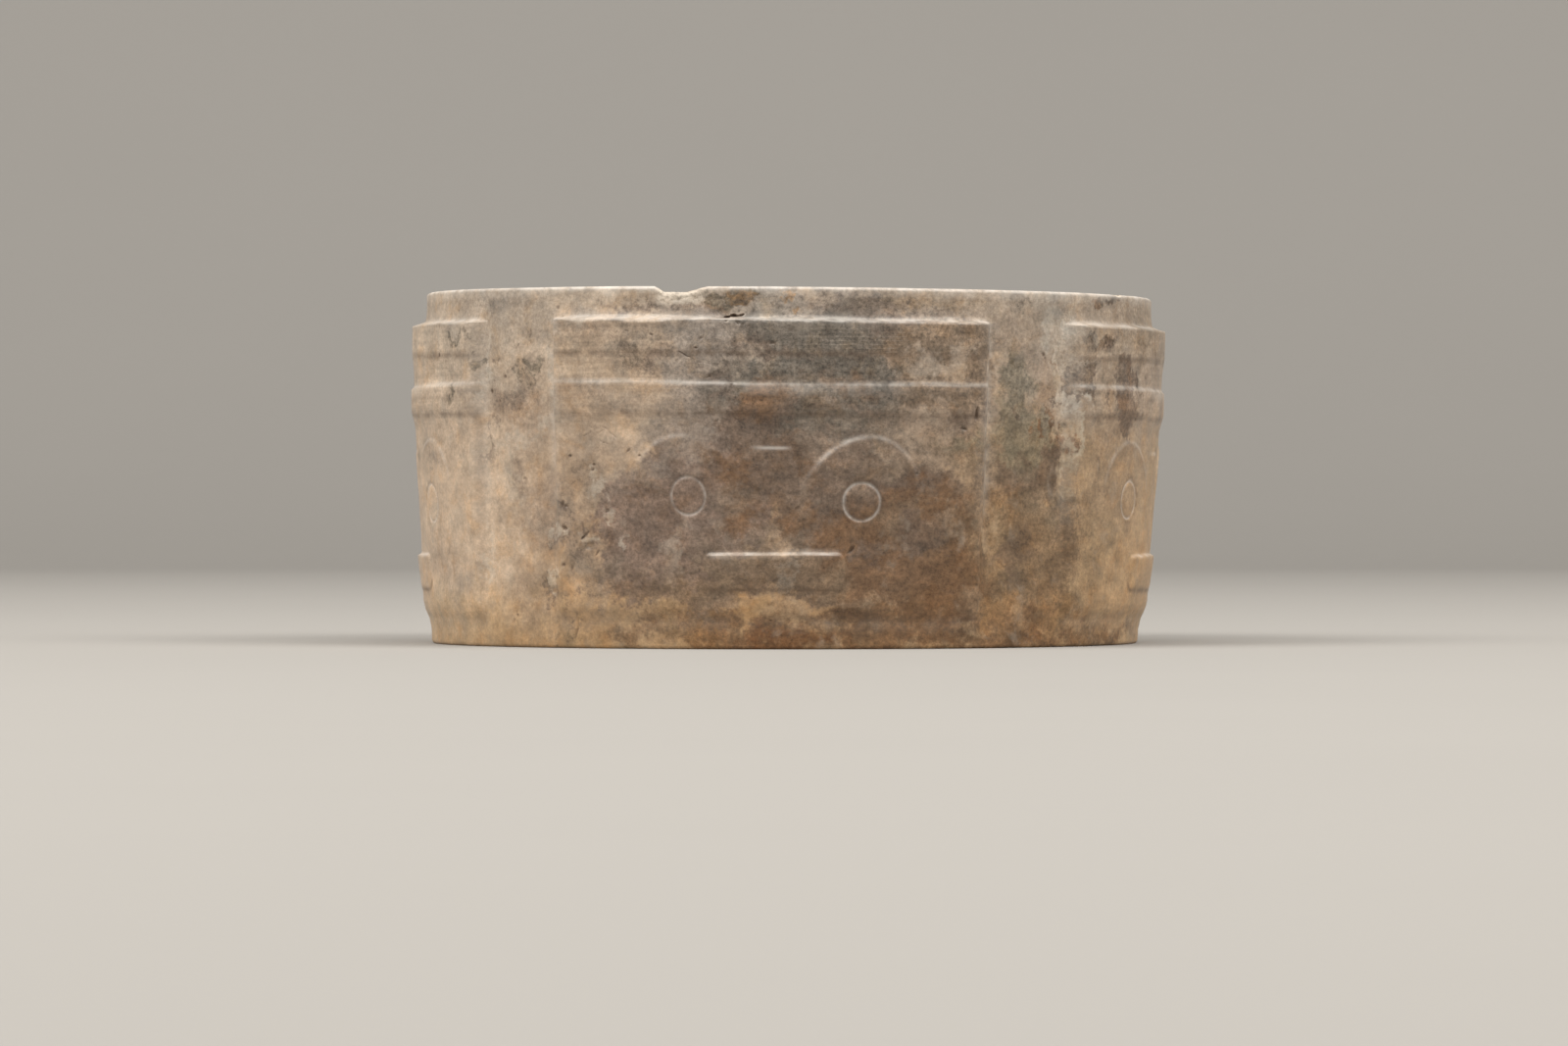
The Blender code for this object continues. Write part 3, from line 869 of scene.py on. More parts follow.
# How far the clouds' outlines wander: waves per millimetre and reach in millimetres.
WANDER = ((0.12, 4.0), (0.5, 2.4), (2.0, 0.9))
# How far crumbly noise eats into a cloud's outline, for each millimetre of its softness.
CRUMBLE = 2.6

# Clouds in the stone, and a few painted highlights among the veils, painted in this order: colour, softness
# of the outline in millimetres, strength, and ovals. An oval is its middle along and up, half length, half
# height and, where it is tilted, turn.
CLOUDS = (
    # Broad clouds.
    ("cream", 5.0, 0.9, ((-56, 13, 18, 13), (-42, 11, 12, 10), (-38, 21, 6, 4), (-56, 34, 10, 8))),
    ("cream", 2.5, 0.6, ((-22, 32.2, 6, 1.2), (-18, 25.8, 6, 2.2), (-33, 31, 7, 4), (-25, 39.6, 4, 1.2))),
    ("honey", 3.0, 0.8, ((-35, 2.6, 8, 3.6), (-26, 2, 8, 3), (-30, 14, 3, 7), (54, 7, 12, 5))),
    ("honey", 1.6, 0.55, ((-20, 34, 8.5, 4.4), (-35, 8.5, 3, 1.6), (-25, 28, 3, 1.5))),
    ("tan", 1.2, 0.65, ((-21, 35.8, 9, 1.6), (-21, 28.6, 9, 1.1), (-36, 27.6, 4, 1.8), (-18, 33, 4, 1))),
    ("sand", 3.0, 0.85, ((42, 18, 5.5, 15), (46, 20, 5, 5), (39, 8, 4, 8), (56, 36, 8, 3))),
    ("rose", 3.0, 0.6, ((48, 21, 9, 7), (57, 29, 8, 6), (35.5, 31, 3, 6))),
    ("tan", 2.5, 0.65, ((28, 36, 5, 3), (44, 39.5, 8, 1.5), (39, 31, 4, 3), (-22, 23.4, 3.5, 1.2, 20))),
    ("tan", 2.0, 0.6, ((-32, 16, 4, 4), (-34, 5, 5, 4), (-35, 24.5, 3.4, 3), (-53, 10, 5, 2))),
    ("ash", 1.6, 0.4, ((-46.5, 8, 2.6, 1.2, 20), (-57, 39, 6, 1), (-40, 39.6, 3, 1))),
    ("shade", 1.4, 0.75, (
        (-26, 12, 2.4, 4), (-28.5, 14, 1.6, 1.2), (-23.5, 19, 3, 2, 20), (-24, 6.5, 1.6, 1),
    )),
    ("mauve", 0.7, 0.95, ((-18, 15.5, 6.4, 4.2, 14), (-17, 9, 6, 5), (-10, 15, 7, 12), (-22, 15, 2.6, 2.4))),
    ("ash", 1.4, 0.8, (
        (-11, 34, 3.6, 6), (-10.5, 26, 3.6, 5), (-14.5, 25.4, 2.2, 1, 10), (-6.5, 35, 3.4, 2.6),
    )),
    ("ash", 1.6, 0.6, (
        (-15, 20.6, 5, 1.6, 24), (-19, 19.4, 3, 1.2, 20), (4, 25, 5, 1.2), (3.5, 21, 1.4, 1.6),
    )),
    ("slate", 1.0, 0.97, (
        (3, 35.2, 9, 2.4), (5, 31.5, 9, 3), (4, 27, 10, 3.6), (9, 33, 4, 4), (-6, 30, 4, 3),
    )),
    ("umber", 1.1, 0.93, (
        (-4.5, 26, 4, 4), (-1, 20.5, 6, 5), (3, 15.5, 5.4, 5), (10, 17.4, 8, 4), (7, 22, 6, 2.4),
    )),
    ("umber", 1.3, 0.88, ((16, 16.5, 9, 3.6, -8), (28, 20.5, 7, 3.4), (33, 20.5, 3.4, 4), (36.6, 12, 2, 7))),
    ("bark", 1.1, 0.9, ((20.5, 23.6, 5.6, 2.2), (18, 29.2, 8, 2), (16, 35.4, 9, 2), (22, 31.5, 2.2, 4))),
    ("umber", 0.8, 0.75, (
        (8, 30.2, 5, 1.2), (6.6, 28, 2.4, 0.9), (21.5, 26.6, 3, 1.4), (-1, 27.2, 1.6, 1.2),
    )),
    ("brown", 1.4, 0.97, (
        (12, 11, 11, 5), (16, 14, 7, 4, -20), (20, 7.5, 9, 5), (9, 4.6, 8, 2), (34, 4, 5, 4),
    )),
    ("bark", 1.4, 0.9, (
        (29, 12, 6, 7), (34, 9, 4, 6), (-3, 8.8, 6.5, 2.4), (-12, 6, 5, 1.6), (37.4, 10, 1.6, 4),
    )),
    ("brown", 0.9, 0.75, (
        (27, 2.6, 2.6, 1.8), (14.5, 2.6, 4.4, 1.2), (9.2, 11.6, 1.6, 1.1), (46, 2.2, 2, 1.2),
    )),
    ("bark", 0.9, 0.8, ((1.4, 7.6, 4.4, 1.8), (13.5, 15.2, 3, 1.4), (-5, 9.4, 3, 1.2))),
    ("umber", 0.8, 0.75, (
        (0.6, 34.3, 6.5, 1), (-2, 36.3, 3, 0.8), (-3, 28.2, 6, 1.4), (42.5, 35.2, 2.4, 0.7),
    )),
    ("tan", 1.6, 0.55, ((-31, 15.6, 4.5, 5), (-34.6, 31.6, 2.4, 2.6), (-17, 2, 3.4, 2), (27, 3, 3, 2.4))),
    ("shade", 1.4, 0.6, ((-3.5, 12.4, 3, 1.2), (-7.5, 10.6, 3, 1.4), (-22, 8.6, 3, 2.4), (-7, 17, 2, 1.8))),
    ("mist", 1.0, 1.0, ((29.3, 30, 3, 4), (29, 24.6, 3.6, 2), (33.4, 25, 2, 2.4), (21.5, 24, 3, 0.6))),
    ("brown", 1.0, 0.85, ((-6, 2, 13, 1.4), (25, 0.9, 13, 1.5), (47, 0.6, 12, 0.9), (10, 1.6, 6, 1.5))),
    ("honey", 1.8, 0.7, ((43, 3.6, 5, 2), (37, 4.6, 3, 1.4))),
    ("brown", 1.2, 0.8, ((17, 2.6, 4, 2.6), (4, 0.2, 9, 1.2))),
    ("sand", 1.4, 0.8, ((13, 40, 9, 1.6),)),
    ("ash", 1.1, 0.95, ((-1, 39.6, 5, 2), (5, 39.6, 3, 2))),
    ("shade", 0.8, 0.95, ((9.4, 39, 4, 1.6), (13.5, 38.6, 4, 0.7), (-16, 38.8, 4, 0.6))),
    ("umber", 0.8, 0.85, (
        (10, 38, 6.5, 1.4), (-9.6, 38.4, 1.4, 0.9), (-2.4, 33.6, 3, 0.7), (-16.5, 34, 1.6, 0.7),
    )),
    ("shade", 1.2, 0.7, ((-28.4, 14, 1.6, 3), (32.4, 17, 2, 2.6), (15, 21.8, 7, 1.4), (0.4, 13, 1.6, 1.6))),
    # Small stains, flakes and veils, from the front round to the sides. Some veils by the collar and the rim
    # are painted highlights.
    ("ochre", 0.9, 0.9, ((-4.1, 5.1, 2.4, 1.2), (-5.1, 3, 1, 1), (2.4, 5.9, 1.8, 0.4))),
    ("gold", 1.0, 0.75, (
        (-10.2, 1.9, 1.6, 1), (26.3, 4.7, 2.6, 1.8, 15), (25.8, 14.9, 0.9, 3.2), (37, 4.3, 2.6, 1.2),
    )),
    ("rust", 0.8, 0.75, ((1.1, 1.2, 4.8, 1), (-3.6, 0.25, 5, 0.8))),
    ("umber", 0.5, 0.6, ((-4.7, 7.4, 3.2, 0.28), (1.8, 7, 3, 0.35), (8.2, 10.8, 0.8, 0.5))),
    ("sand", 0.9, 0.7, (
        (-16.1, 2.3, 1.6, 1.6), (-7.1, 7.2, 1.6, 1.4), (-4.1, 11.6, 0.9, 1.6, -35), (5.8, 8.8, 1.6, 1),
        (26.6, 12.5, 1.2, 4.5),
    )),
    ("brown", 1.0, 0.85, (
        (0.6, 15.4, 1.6, 2, -40), (-5.6, 14.9, 1.1, 1.2), (-2.8, 28.8, 3.4, 1.6), (-7.2, 19.6, 1.2, 1.8, 25),
        (1.6, 21.4, 0.5, 1.8),
    )),
    ("slate", 0.9, 0.8, ((6.9, 29.4, 6.4, 1.3), (1.9, 36.2, 7, 2.6), (6.9, 31.7, 3.2, 1.4))),
    ("umber", 0.9, 0.7, (
        (-0.28, 26.8, 1.4, 1), (8.9, 11.1, 1.4, 1.2), (-7.5, 30.9, 1.2, 1.6), (29.3, 10.6, 1.6, 3),
        (15.8, 12.9, 3, 2),
    )),
    ("tan", 0.9, 0.75, (
        (15.1, 25.4, 6.2, 0.8), (11.5, 26.5, 2.4, 0.8), (26.5, 21.9, 1, 2.6), (19.8, 13.9, 1.6, 1),
    )),
    ("ash", 0.8, 0.7, ((-10.6, 34.8, 2.4, 4.2), (-9.9, 27.3, 1.8, 2.2), (-13.3, 25.5, 2, 0.8, 20))),
    ("veil", 0.6, 0.4, ((-13.2, 10.4, 0.8, 2.6, -14), (-1.3, 8, 0.5, 1.6))),
    ("cream", 0.8, 0.5, ((-20.3, 26.6, 4.2, 1.4), (-24.2, 30.9, 3.4, 1.2))),
    ("pith", 0.35, 0.4, (
        (-28.9, 12.8, 0.9, 0.5, 20), (-24.9, 13.2, 0.8, 0.4, 20), (-21, 15.6, 1, 0.3, -40),
        (-18.7, 12.6, 0.4, 0.8), (-23, 18.5, 1.4, 0.5, 30), (-29.2, 6.6, 0.8, 0.9),
    )),
    ("umber", 0.3, 0.7, (
        (-28.2, 12.1, 1.1, 0.25, 10), (-29.6, 5.8, 1.2, 0.35, -20), (-26.3, 11.5, 0.9, 0.22, 20),
        (-27.8, 16, 0.5, 0.35, -30), (-25.6, 6.3, 0.7, 0.2), (-28.5, 3.7, 0.18, 0.9, -10),
    )),
    ("moss", 0.3, 0.35, ((-17.6, 34, 1.7, 0.9, 42), (-15.9, 35.1, 0.8, 0.5), (-22.2, 29.5, 0.5, 0.25))),
    # Partly pale veils, partly a painted highlight: the thin level ones along the collar over the top ledge.
    ("veil", 0.7, 0.5, (
        (-2.7, 38.6, 1.2, 1.4), (0.35, 39.4, 3.4, 0.4), (-13.3, 40, 1.2, 0.8), (-24.6, 38.3, 0.4, 1.4, 10),
        (7.6, 39.2, 6, 0.25),
    )),
    ("moss", 0.3, 0.95, ((-8.6, 39.6, 1.8, 1.3), (-5.2, 40, 1.8, 1.2), (-4.5, 40, 1, 0.5))),
    ("bark", 0.3, 0.9, ((-4.8, 39.6, 1.2, 0.8, -40), (-9.5, 38.8, 1.4, 0.4))),
    ("gold", 0.25, 0.8, ((-5.4, 40.5, 1.5, 0.5, -24), (-5.7, 39.3, 1.2, 0.2, -38), (0.48, 39.9, 0.5, 0.7))),
    ("umber", 0.8, 0.6, (
        (9.1, 39.2, 5, 0.6), (-18.4, 38.7, 5, 0.4), (6, 41.5, 2.6, 0.6), (4.2, 40.4, 1.6, 0.5),
    )),
    # The two long veils under the rim at the right are a painted highlight along the rim.
    ("veil", 0.8, 0.45, ((34.5, 38.5, 0.7, 1.8), (37.5, 40.1, 8, 0.7), (52.5, 41.6, 5, 0.6))),
    ("soil", 0.3, 0.5, ((-9.9, 39.5, 0.3, 0.7, -20), (29.7, 40.1, 0.7, 0.35, -20), (28.9, 40.2, 0.3, 0.2))),
    ("veil", 0.5, 0.55, (
        (-32.6, 25.4, 2.4, 0.4, 32), (-36.9, 22.8, 4.2, 0.5, 32), (-38.6, 18.7, 4, 0.45, -14),
        (-30.6, 31.2, 0.5, 4.6),
    )),
    ("cream", 1.6, 0.5, ((-40.2, 20.9, 3, 2.4, 20), (-39, 11.5, 3, 3))),
    ("pith", 0.4, 0.4, ((-42, 8.6, 0.8, 1), (-40.1, 11.9, 0.4, 1.8), (-41.9, 31.6, 0.4, 4))),
    ("umber", 0.9, 0.55, ((-37, 27.9, 2.2, 1.1), (-35.9, 20.1, 1.6, 1.6))),
    ("moss", 0.25, 0.85, ((-34.4, 32.2, 1.5, 0.8, -6), (-34.6, 30.1, 0.75, 1.1), (-34.8, 32.2, 0.7, 0.5))),
    ("umber", 0.3, 0.6, (
        (-35.5, 35, 0.3, 0.7, 20), (-39.2, 32.8, 0.4, 0.3), (-40, 25.9, 0.5, 0.5), (-41.6, 22.6, 0.28, 2.6),
        (-42, 21.6, 0.2, 0.9),
    )),
    ("moss", 0.35, 0.95, ((-43.1, 32.9, 1, 0.7, 10), (-47, 30.5, 0.7, 0.75), (-45.2, 36.1, 0.8, 0.4))),
    ("ash", 0.8, 0.7, ((-56.4, 25, 1.8, 0.8), (-53.7, 22.4, 1.7, 1, -10))),
    ("mist", 0.7, 0.95, ((28.6, 30, 2.4, 2.9), (27.8, 25.7, 3, 2.2), (31.3, 22.5, 2.6, 2))),
    ("umber", 0.8, 0.75, ((31.9, 20.4, 4.2, 1.6), (35, 20.5, 1.6, 3))),
    ("veil", 0.6, 0.55, ((37.8, 32.9, 1.7, 4.8, 3), (36.8, 25.2, 0.8, 5.5), (35, 36.7, 1.6, 1.8))),
    ("pith", 0.3, 0.5, ((37.4, 29.2, 0.35, 8.5, 1), (37.6, 29.1, 1.1, 0.45, 20), (40.5, 35.7, 1, 0.35, 35))),
    ("rust", 0.25, 0.65, (
        (36.8, 33.2, 0.35, 1.1, 12), (34.7, 26.2, 0.35, 1.8, 4), (36.2, 23.2, 0.5, 0.9, 10),
        (32.1, 24.8, 0.8, 0.4),
    )),
    ("umber", 0.25, 0.7, (
        (36, 28.8, 0.3, 0.4), (36.6, 28, 0.4, 0.25), (27.4, 26, 0.4, 0.4), (28, 26.5, 0.3, 0.2),
        (38.6, 32.1, 0.2, 0.3),
    )),
    ("umber", 0.4, 0.9, (
        (47.2, 31.8, 1.7, 1.1, 10), (48.8, 31.4, 2.3, 1.5), (47, 30.1, 2, 1.3), (47.5, 28.3, 3.2, 2),
        (48.3, 26.4, 2.3, 1.6),
    )),
    ("gold", 0.9, 0.2, ((47.4, 31.7, 1.6, 1, 10), (48.2, 27.5, 3, 2.4))),
    ("brown", 0.5, 0.6, (
        (48.8, 31.5, 1.4, 1), (46.4, 28.5, 1.4, 1.2), (50, 31.6, 1, 0.3), (45.9, 28.7, 0.7, 0.8),
    )),
    ("bark", 0.3, 0.9, (
        (43, 40, 1.4, 0.8), (39.4, 31.1, 0.8, 2), (39.7, 34.6, 1.2, 0.7, 20), (51.7, 29.8, 0.6, 0.3),
        (53.7, 35.5, 1, 0.25),
    )),
    ("soil", 0.35, 0.8, ((46.1, 41, 1.4, 0.7, 10), (41.8, 35.4, 1.5, 0.8, 15), (40.2, 35.4, 1.4, 0.5, 25))),
    ("umber", 0.25, 0.7, (
        (38.3, 32.2, 0.3, 1.2, 10), (40, 31.1, 0.3, 1.4, -10), (38.8, 30, 0.6, 0.35), (39.2, 32.1, 0.3, 0.5),
        (42.3, 29.4, 0.3, 0.6),
    )),
    ("umber", 0.4, 0.45, ((42.4, 22.3, 0.7, 0.6), (42.1, 20, 0.35, 1, 10), (43.4, 18.4, 0.9, 0.6))),
    ("rust", 0.3, 0.35, ((42.5, 39.8, 0.9, 0.6),)),
    ("tan", 0.8, 0.5, (
        (-14.5, 7.8, 1.5, 1.8), (-8, 5.2, 1.8, 1.2), (8.9, 19.3, 0.8, 2.2), (0.43, 18, 0.9, 1.6),
        (3, 22.9, 1, 2), (10.2, 27.4, 1.6, 0.7), (10.1, 34.4, 1.2, 1.4), (-34.3, 29.1, 1.4, 1.2),
        (22.9, 5.5, 1.6, 1),
    )),
    ("brown", 0.8, 0.5, (
        (-1, 13.6, 1.4, 0.9), (-18.2, 1.3, 1.2, 1.4), (27.4, 3.6, 1.4, 1.8), (35.6, 4.6, 0.9, 1),
        (38.9, 1.2, 1.8, 0.9), (21.6, 14.3, 1.1, 1), (6, 30.1, 2.4, 0.9),
    )),
    ("cream", 0.8, 0.5, ((38.8, 35, 1.8, 0.8), (37.4, 31.9, 0.7, 1.6), (25.7, 12.7, 0.7, 1.8))),
    ("shade", 0.8, 0.35, (
        (41.7, 18.5, 1.6, 1.4), (-37.3, 16.2, 2.2, 2.2), (34.8, 17.9, 1.2, 1.2), (-23.6, 25.8, 1.6, 1.6),
        (46.6, 31.1, 1.2, 0.8),
    )),
)

# Fine level lines scratched along the top bar: their spacing, strength, and the oval that holds them.
SCRATCH_SPACING = 0.45
SCRATCH_STRENGTH = 0.22
SCRATCHED = (8.0, 36.0, 9.5, 1.5)


# The stone's warmth grows towards the foot, between these heights and up to this share, and at the
# lower right, between these places along the wall and these heights. It cools towards the rim.
WARM_FOOT = (9.0, 2.0, 0.0, 0.95)
WARM_RIGHT_ALONG = (14.0, 24.0, 0.0, 0.8)
WARM_RIGHT_UP = (29.0, 22.0)
COOL_RIM = (24.0, 38.0)


def paint_clouds(nodes, finish, colour, flat, crumble):
    """The clouds, each a few soft ovals flowing together."""
    for name, softness, strength, ovals in CLOUDS:
        depth = oval_depth(nodes, flat, *ovals[0])
        for oval in ovals[1:]:
            depth = nodes.math("SMOOTH_MAX", depth, oval_depth(nodes, flat, *oval), softness)
        depth = nodes.math("MULTIPLY_ADD", crumble, CRUMBLE * softness, depth)
        mask = nodes.grade(depth, -softness, softness, 0.0, strength)
        colour = nodes.blend(mask, colour, getattr(finish, name))
    return colour


def stone_colours(nodes, finish, place):
    """The clouded colour of the stone, before its grain, wear and dirt."""
    stone, wall, ragged = place["Stone"], place["Wall"], place["Ragged Wall"]
    height = nodes.vector_part(ragged, "Y")
    colour = nodes.blend(nodes.grade(height, 6.0, 32.0), finish.honey, finish.blush)
    broad = nodes.noise(stone, 0.07, roughness=0.6)["Fac"]
    colour = nodes.blend(nodes.grade(broad, 0.45, 0.62, 0.0, 0.5), colour, finish.cream)
    flat = nodes.vector("MULTIPLY_ADD", ragged, (1.0, 1.0, 0.0), (0.0, 0.0, 1.0))
    crumble = nodes.centred_noise(stone, 0.9, detail=5.0, roughness=0.65)
    colour = paint_clouds(nodes, finish, colour, flat, crumble)

    at_right = nodes.grade(nodes.vector_part(ragged, "X"), *WARM_RIGHT_ALONG)
    low_right = nodes.times(at_right, nodes.grade(height, *WARM_RIGHT_UP))
    warmth = nodes.math("MAXIMUM", low_right, nodes.grade(height, *WARM_FOOT))
    colour = nodes.tint(warmth, colour, finish.amber)
    colour = nodes.tint(nodes.grade(height, *COOL_RIM), colour, finish.pearl)

    lines = nodes.times(nodes.vector_part(wall, "Y"), 2 * pi / SCRATCH_SPACING)
    lines = nodes.math("SINE", nodes.math("MULTIPLY_ADD", crumble, 3.0, lines))
    inside = nodes.grade(oval_depth(nodes, flat, *SCRATCHED), -0.4, 1.2, 0.0, SCRATCH_STRENGTH)
    lines = nodes.times(nodes.grade(lines, 0.2, 1.0), inside)
    return nodes.blend(lines, colour, finish.veil)


def bar_streaks(nodes, place):
    """Level streaks along the bars, as a share more or less of brightness."""
    up = nodes.vector_part(place["Wall"], "Y")
    drawn = nodes.vector("MULTIPLY", place["Wall"], (0.1, 1.5, 0.0))
    streaks = nodes.centred_noise(drawn, 1.0)
    head = nodes.grade(up, PANEL_HEAD + 0.2, PANEL_HEAD - 0.2)
    on_bars = nodes.times(nodes.grade(up, 24.0, 28.0, 0.0, 0.8), head)
    on_bars = nodes.times(on_bars, nodes.attribute("panel"))
    return nodes.times(streaks, on_bars)


def mottle(nodes, finish, place, colour, tone, tint, wisps, grain):
    """Mottling from the size of a fingertip down to the felted grain, which shows most in dark stone."""
    darkness = nodes.add("ShaderNodeRGBToBW")
    nodes.join(colour, darkness.inputs[0])
    contrast = nodes.grade(darkness.outputs[0], 0.12, 0.36, 1.0, 0.45)
    colour = nodes.tint(nodes.grade(tint, 0.5, 0.68), colour, finish.rosy)
    colour = nodes.tint(nodes.grade(tint, 0.5, 0.32), colour, finish.sage)

    drawn = nodes.vector("MULTIPLY", place["Stone"], (0.75, 0.75, 1.5))
    flecks = nodes.noise(drawn, 0.42, detail=5.0, roughness=0.6)["Fac"]
    grain_gain = nodes.grade(nodes.vector_part(place["Wall"], "Y"), 20.0, 34.0, 2.4, 3.4)
    shade = nodes.math("ADD", tone, 0.5)
    shade = nodes.times(shade, nodes.math("ADD", bar_streaks(nodes, place), 1.0))
    for part, gain in ((flecks, 1.8), (grain, grain_gain)):
        fleck = nodes.times(nodes.math("SUBTRACT", part, 0.5), contrast)
        shade = nodes.times(shade, nodes.math("MULTIPLY_ADD", fleck, gain, 1.0))
    colour = nodes.blend(1.0, colour, shade, mode="MULTIPLY")
    return nodes.blend(nodes.grade(wisps, 0.56, 0.74, 0.0, 0.3), colour, finish.veil)


def age(nodes, finish, stone, colour, broken, grain):
    """Soil and painted shade in corners and under edges, paleness on the worn edges and painted highlights on
    edges that face up, and crumbly stone where it is broken.
    """
    patchy = nodes.grade(nodes.noise(stone, 0.5)["Fac"], 0.35, 0.6, 0.35, 1.0)
    # Soil and painted shade darken the stone, then wear and painted highlights pale it.
    soil = nodes.times(nodes.attribute("soil"), patchy, clamp=True)
    colour = nodes.blend(soil, colour, finish.soil)
    wear_and_highlight = nodes.times(nodes.attribute("pale"), patchy)
    wear_and_highlight = nodes.times(wear_and_highlight, finish.wear_and_highlight, clamp=True)
    colour = nodes.blend(wear_and_highlight, colour, finish.worn)
    crumbs = nodes.times(broken, nodes.grade(grain, 0.36, 0.56, 0.15, 0.75), clamp=True)
    return nodes.blend(crumbs, colour, finish.pith)


def jade_material(finish):
    material = bpy.data.materials.new("weathered_jade")
    material.use_nodes = True
    tree = material.node_tree
    tree.nodes.clear()
    nodes = Nodes(tree)
    output = nodes.add("ShaderNodeOutputMaterial")
    shader = nodes.add("ShaderNodeBsdfPrincipled")
    nodes.join(shader.outputs[0], output.inputs["Surface"])
    place = nodes.add("ShaderNodeGroup", node_tree=wall_place_group()).outputs
    stone = place["Stone"]
    colour = stone_colours(nodes, finish, place)

    blotch = nodes.noise(stone, 0.3, detail=5.0, roughness=0.66, distortion=0.3)["Color"]
    channels = nodes.add("ShaderNodeSeparateColor")
    nodes.join(blotch, channels.inputs[0])
    tone, tint, wisps = channels.outputs
    grain = nodes.noise(stone, 2.2, roughness=0.8)["Fac"]
    broken = nodes.attribute("broken")
    colour = mottle(nodes, finish, place, colour, tone, tint, wisps, grain)
    colour = age(nodes, finish, stone, colour, broken, grain)
    nodes.join(colour, shader.inputs["Base Color"])

    gloss = nodes.grade(tone, 0.3, 0.7, 0.38, 0.52)
    gloss = nodes.math("ADD", gloss, nodes.times(broken, 0.25), clamp=True)
    nodes.join(gloss, shader.inputs["Roughness"])
    fine = nodes.noise(stone, 1.6, detail=5.0, roughness=0.65)["Fac"]
    bump = nodes.add("ShaderNodeBump")
    bump.inputs["Strength"].default_value = 0.35
    bump.inputs["Distance"].default_value = 0.00012
    nodes.join(fine, bump.inputs["Height"])
    nodes.join(bump.outputs[0], shader.inputs["Normal"])
    shader.inputs["IOR"].default_value = 1.5
    shader.inputs["Specular IOR Level"].default_value = 0.4
    return material


def plain_material(name, colour, roughness):
    """A matt studio surface with the faintest unevenness."""
    material = bpy.data.materials.new(name)
    material.use_nodes = True
    nodes = Nodes(material.node_tree)
    shader = material.node_tree.nodes["Principled BSDF"]
    place = nodes.add("ShaderNodeTexCoord").outputs["Object"]
    uneven = nodes.grade(nodes.noise(place, 9.0, detail=3.0)["Fac"], 0.3, 0.7, 0.0, 0.12)
    shade = nodes.blend(uneven, (*colour, 1.0), (*[channel * 0.92 for channel in colour], 1.0))
    nodes.join(shade, shader.inputs["Base Color"])
    shader.inputs["Roughness"].default_value = roughness
    shader.inputs["Specular IOR Level"].default_value = 0.2
    return material


# ---- what a user would change -------------------------------------------------------------------


def colour_property(name, description, default):
    return FloatVectorProperty(
        name=name, description=description, subtype="COLOR", size=4, min=0.0, max=1.0, default=(*default, 1.0)
    )


def length_property(name, description, default):
    return FloatProperty(
        name=name, description=description, unit="LENGTH", min=0.0, precision=5, default=default
    )


def power_property(name, where, default):
    description = f"Power of the soft light {where}"
    return FloatProperty(name=name, description=description, unit="POWER", default=default)


class CongForm(bpy.types.PropertyGroup):
    """Sizes of the carving and its mesh"""

    crisp_edge: length_property("Crisp Edge", "Width of the slope at a carved upper edge", 0.0004)
    faded_edge: length_property("Faded Edge", "Width of the slope at a carved lower edge", 0.0012)
    fillet: length_property("Fillet", "How far the collar swells out over the top bar", 0.0004)
    riser_width: length_property("Riser Width", "How wide the slope at a panel's sides is", 0.0016)
    groove_width: length_property("Groove Width", "Width of the drilled ring round a pupil", 0.0004)
    groove_depth: length_property("Groove Depth", "Depth of the drilled ring round a pupil", 0.00016)
    waviness: length_property("Waviness", "How far the hand-worked surface swells", 0.00007)
    coarse_cell: length_property("Coarse Cell", "Height of the mesh's rows where the wall is plain", 0.001)
    line_cell: length_property("Line Cell", "Height of the mesh's rows at level carved lines", 0.0003)
    steps_round: IntProperty(name="Steps Round", description="Columns of the plain ring", min=64, default=250)
    bore_rows: IntProperty(name="Bore Rows", description="Rows of the mesh down the bore", min=4, default=10)
    pit_groups: IntProperty(name="Pit Groups", description="Loose groups of small pits", default=34)
    pit_seed: IntProperty(name="Pit Seed", description="Changes where the small pits lie", default=5)


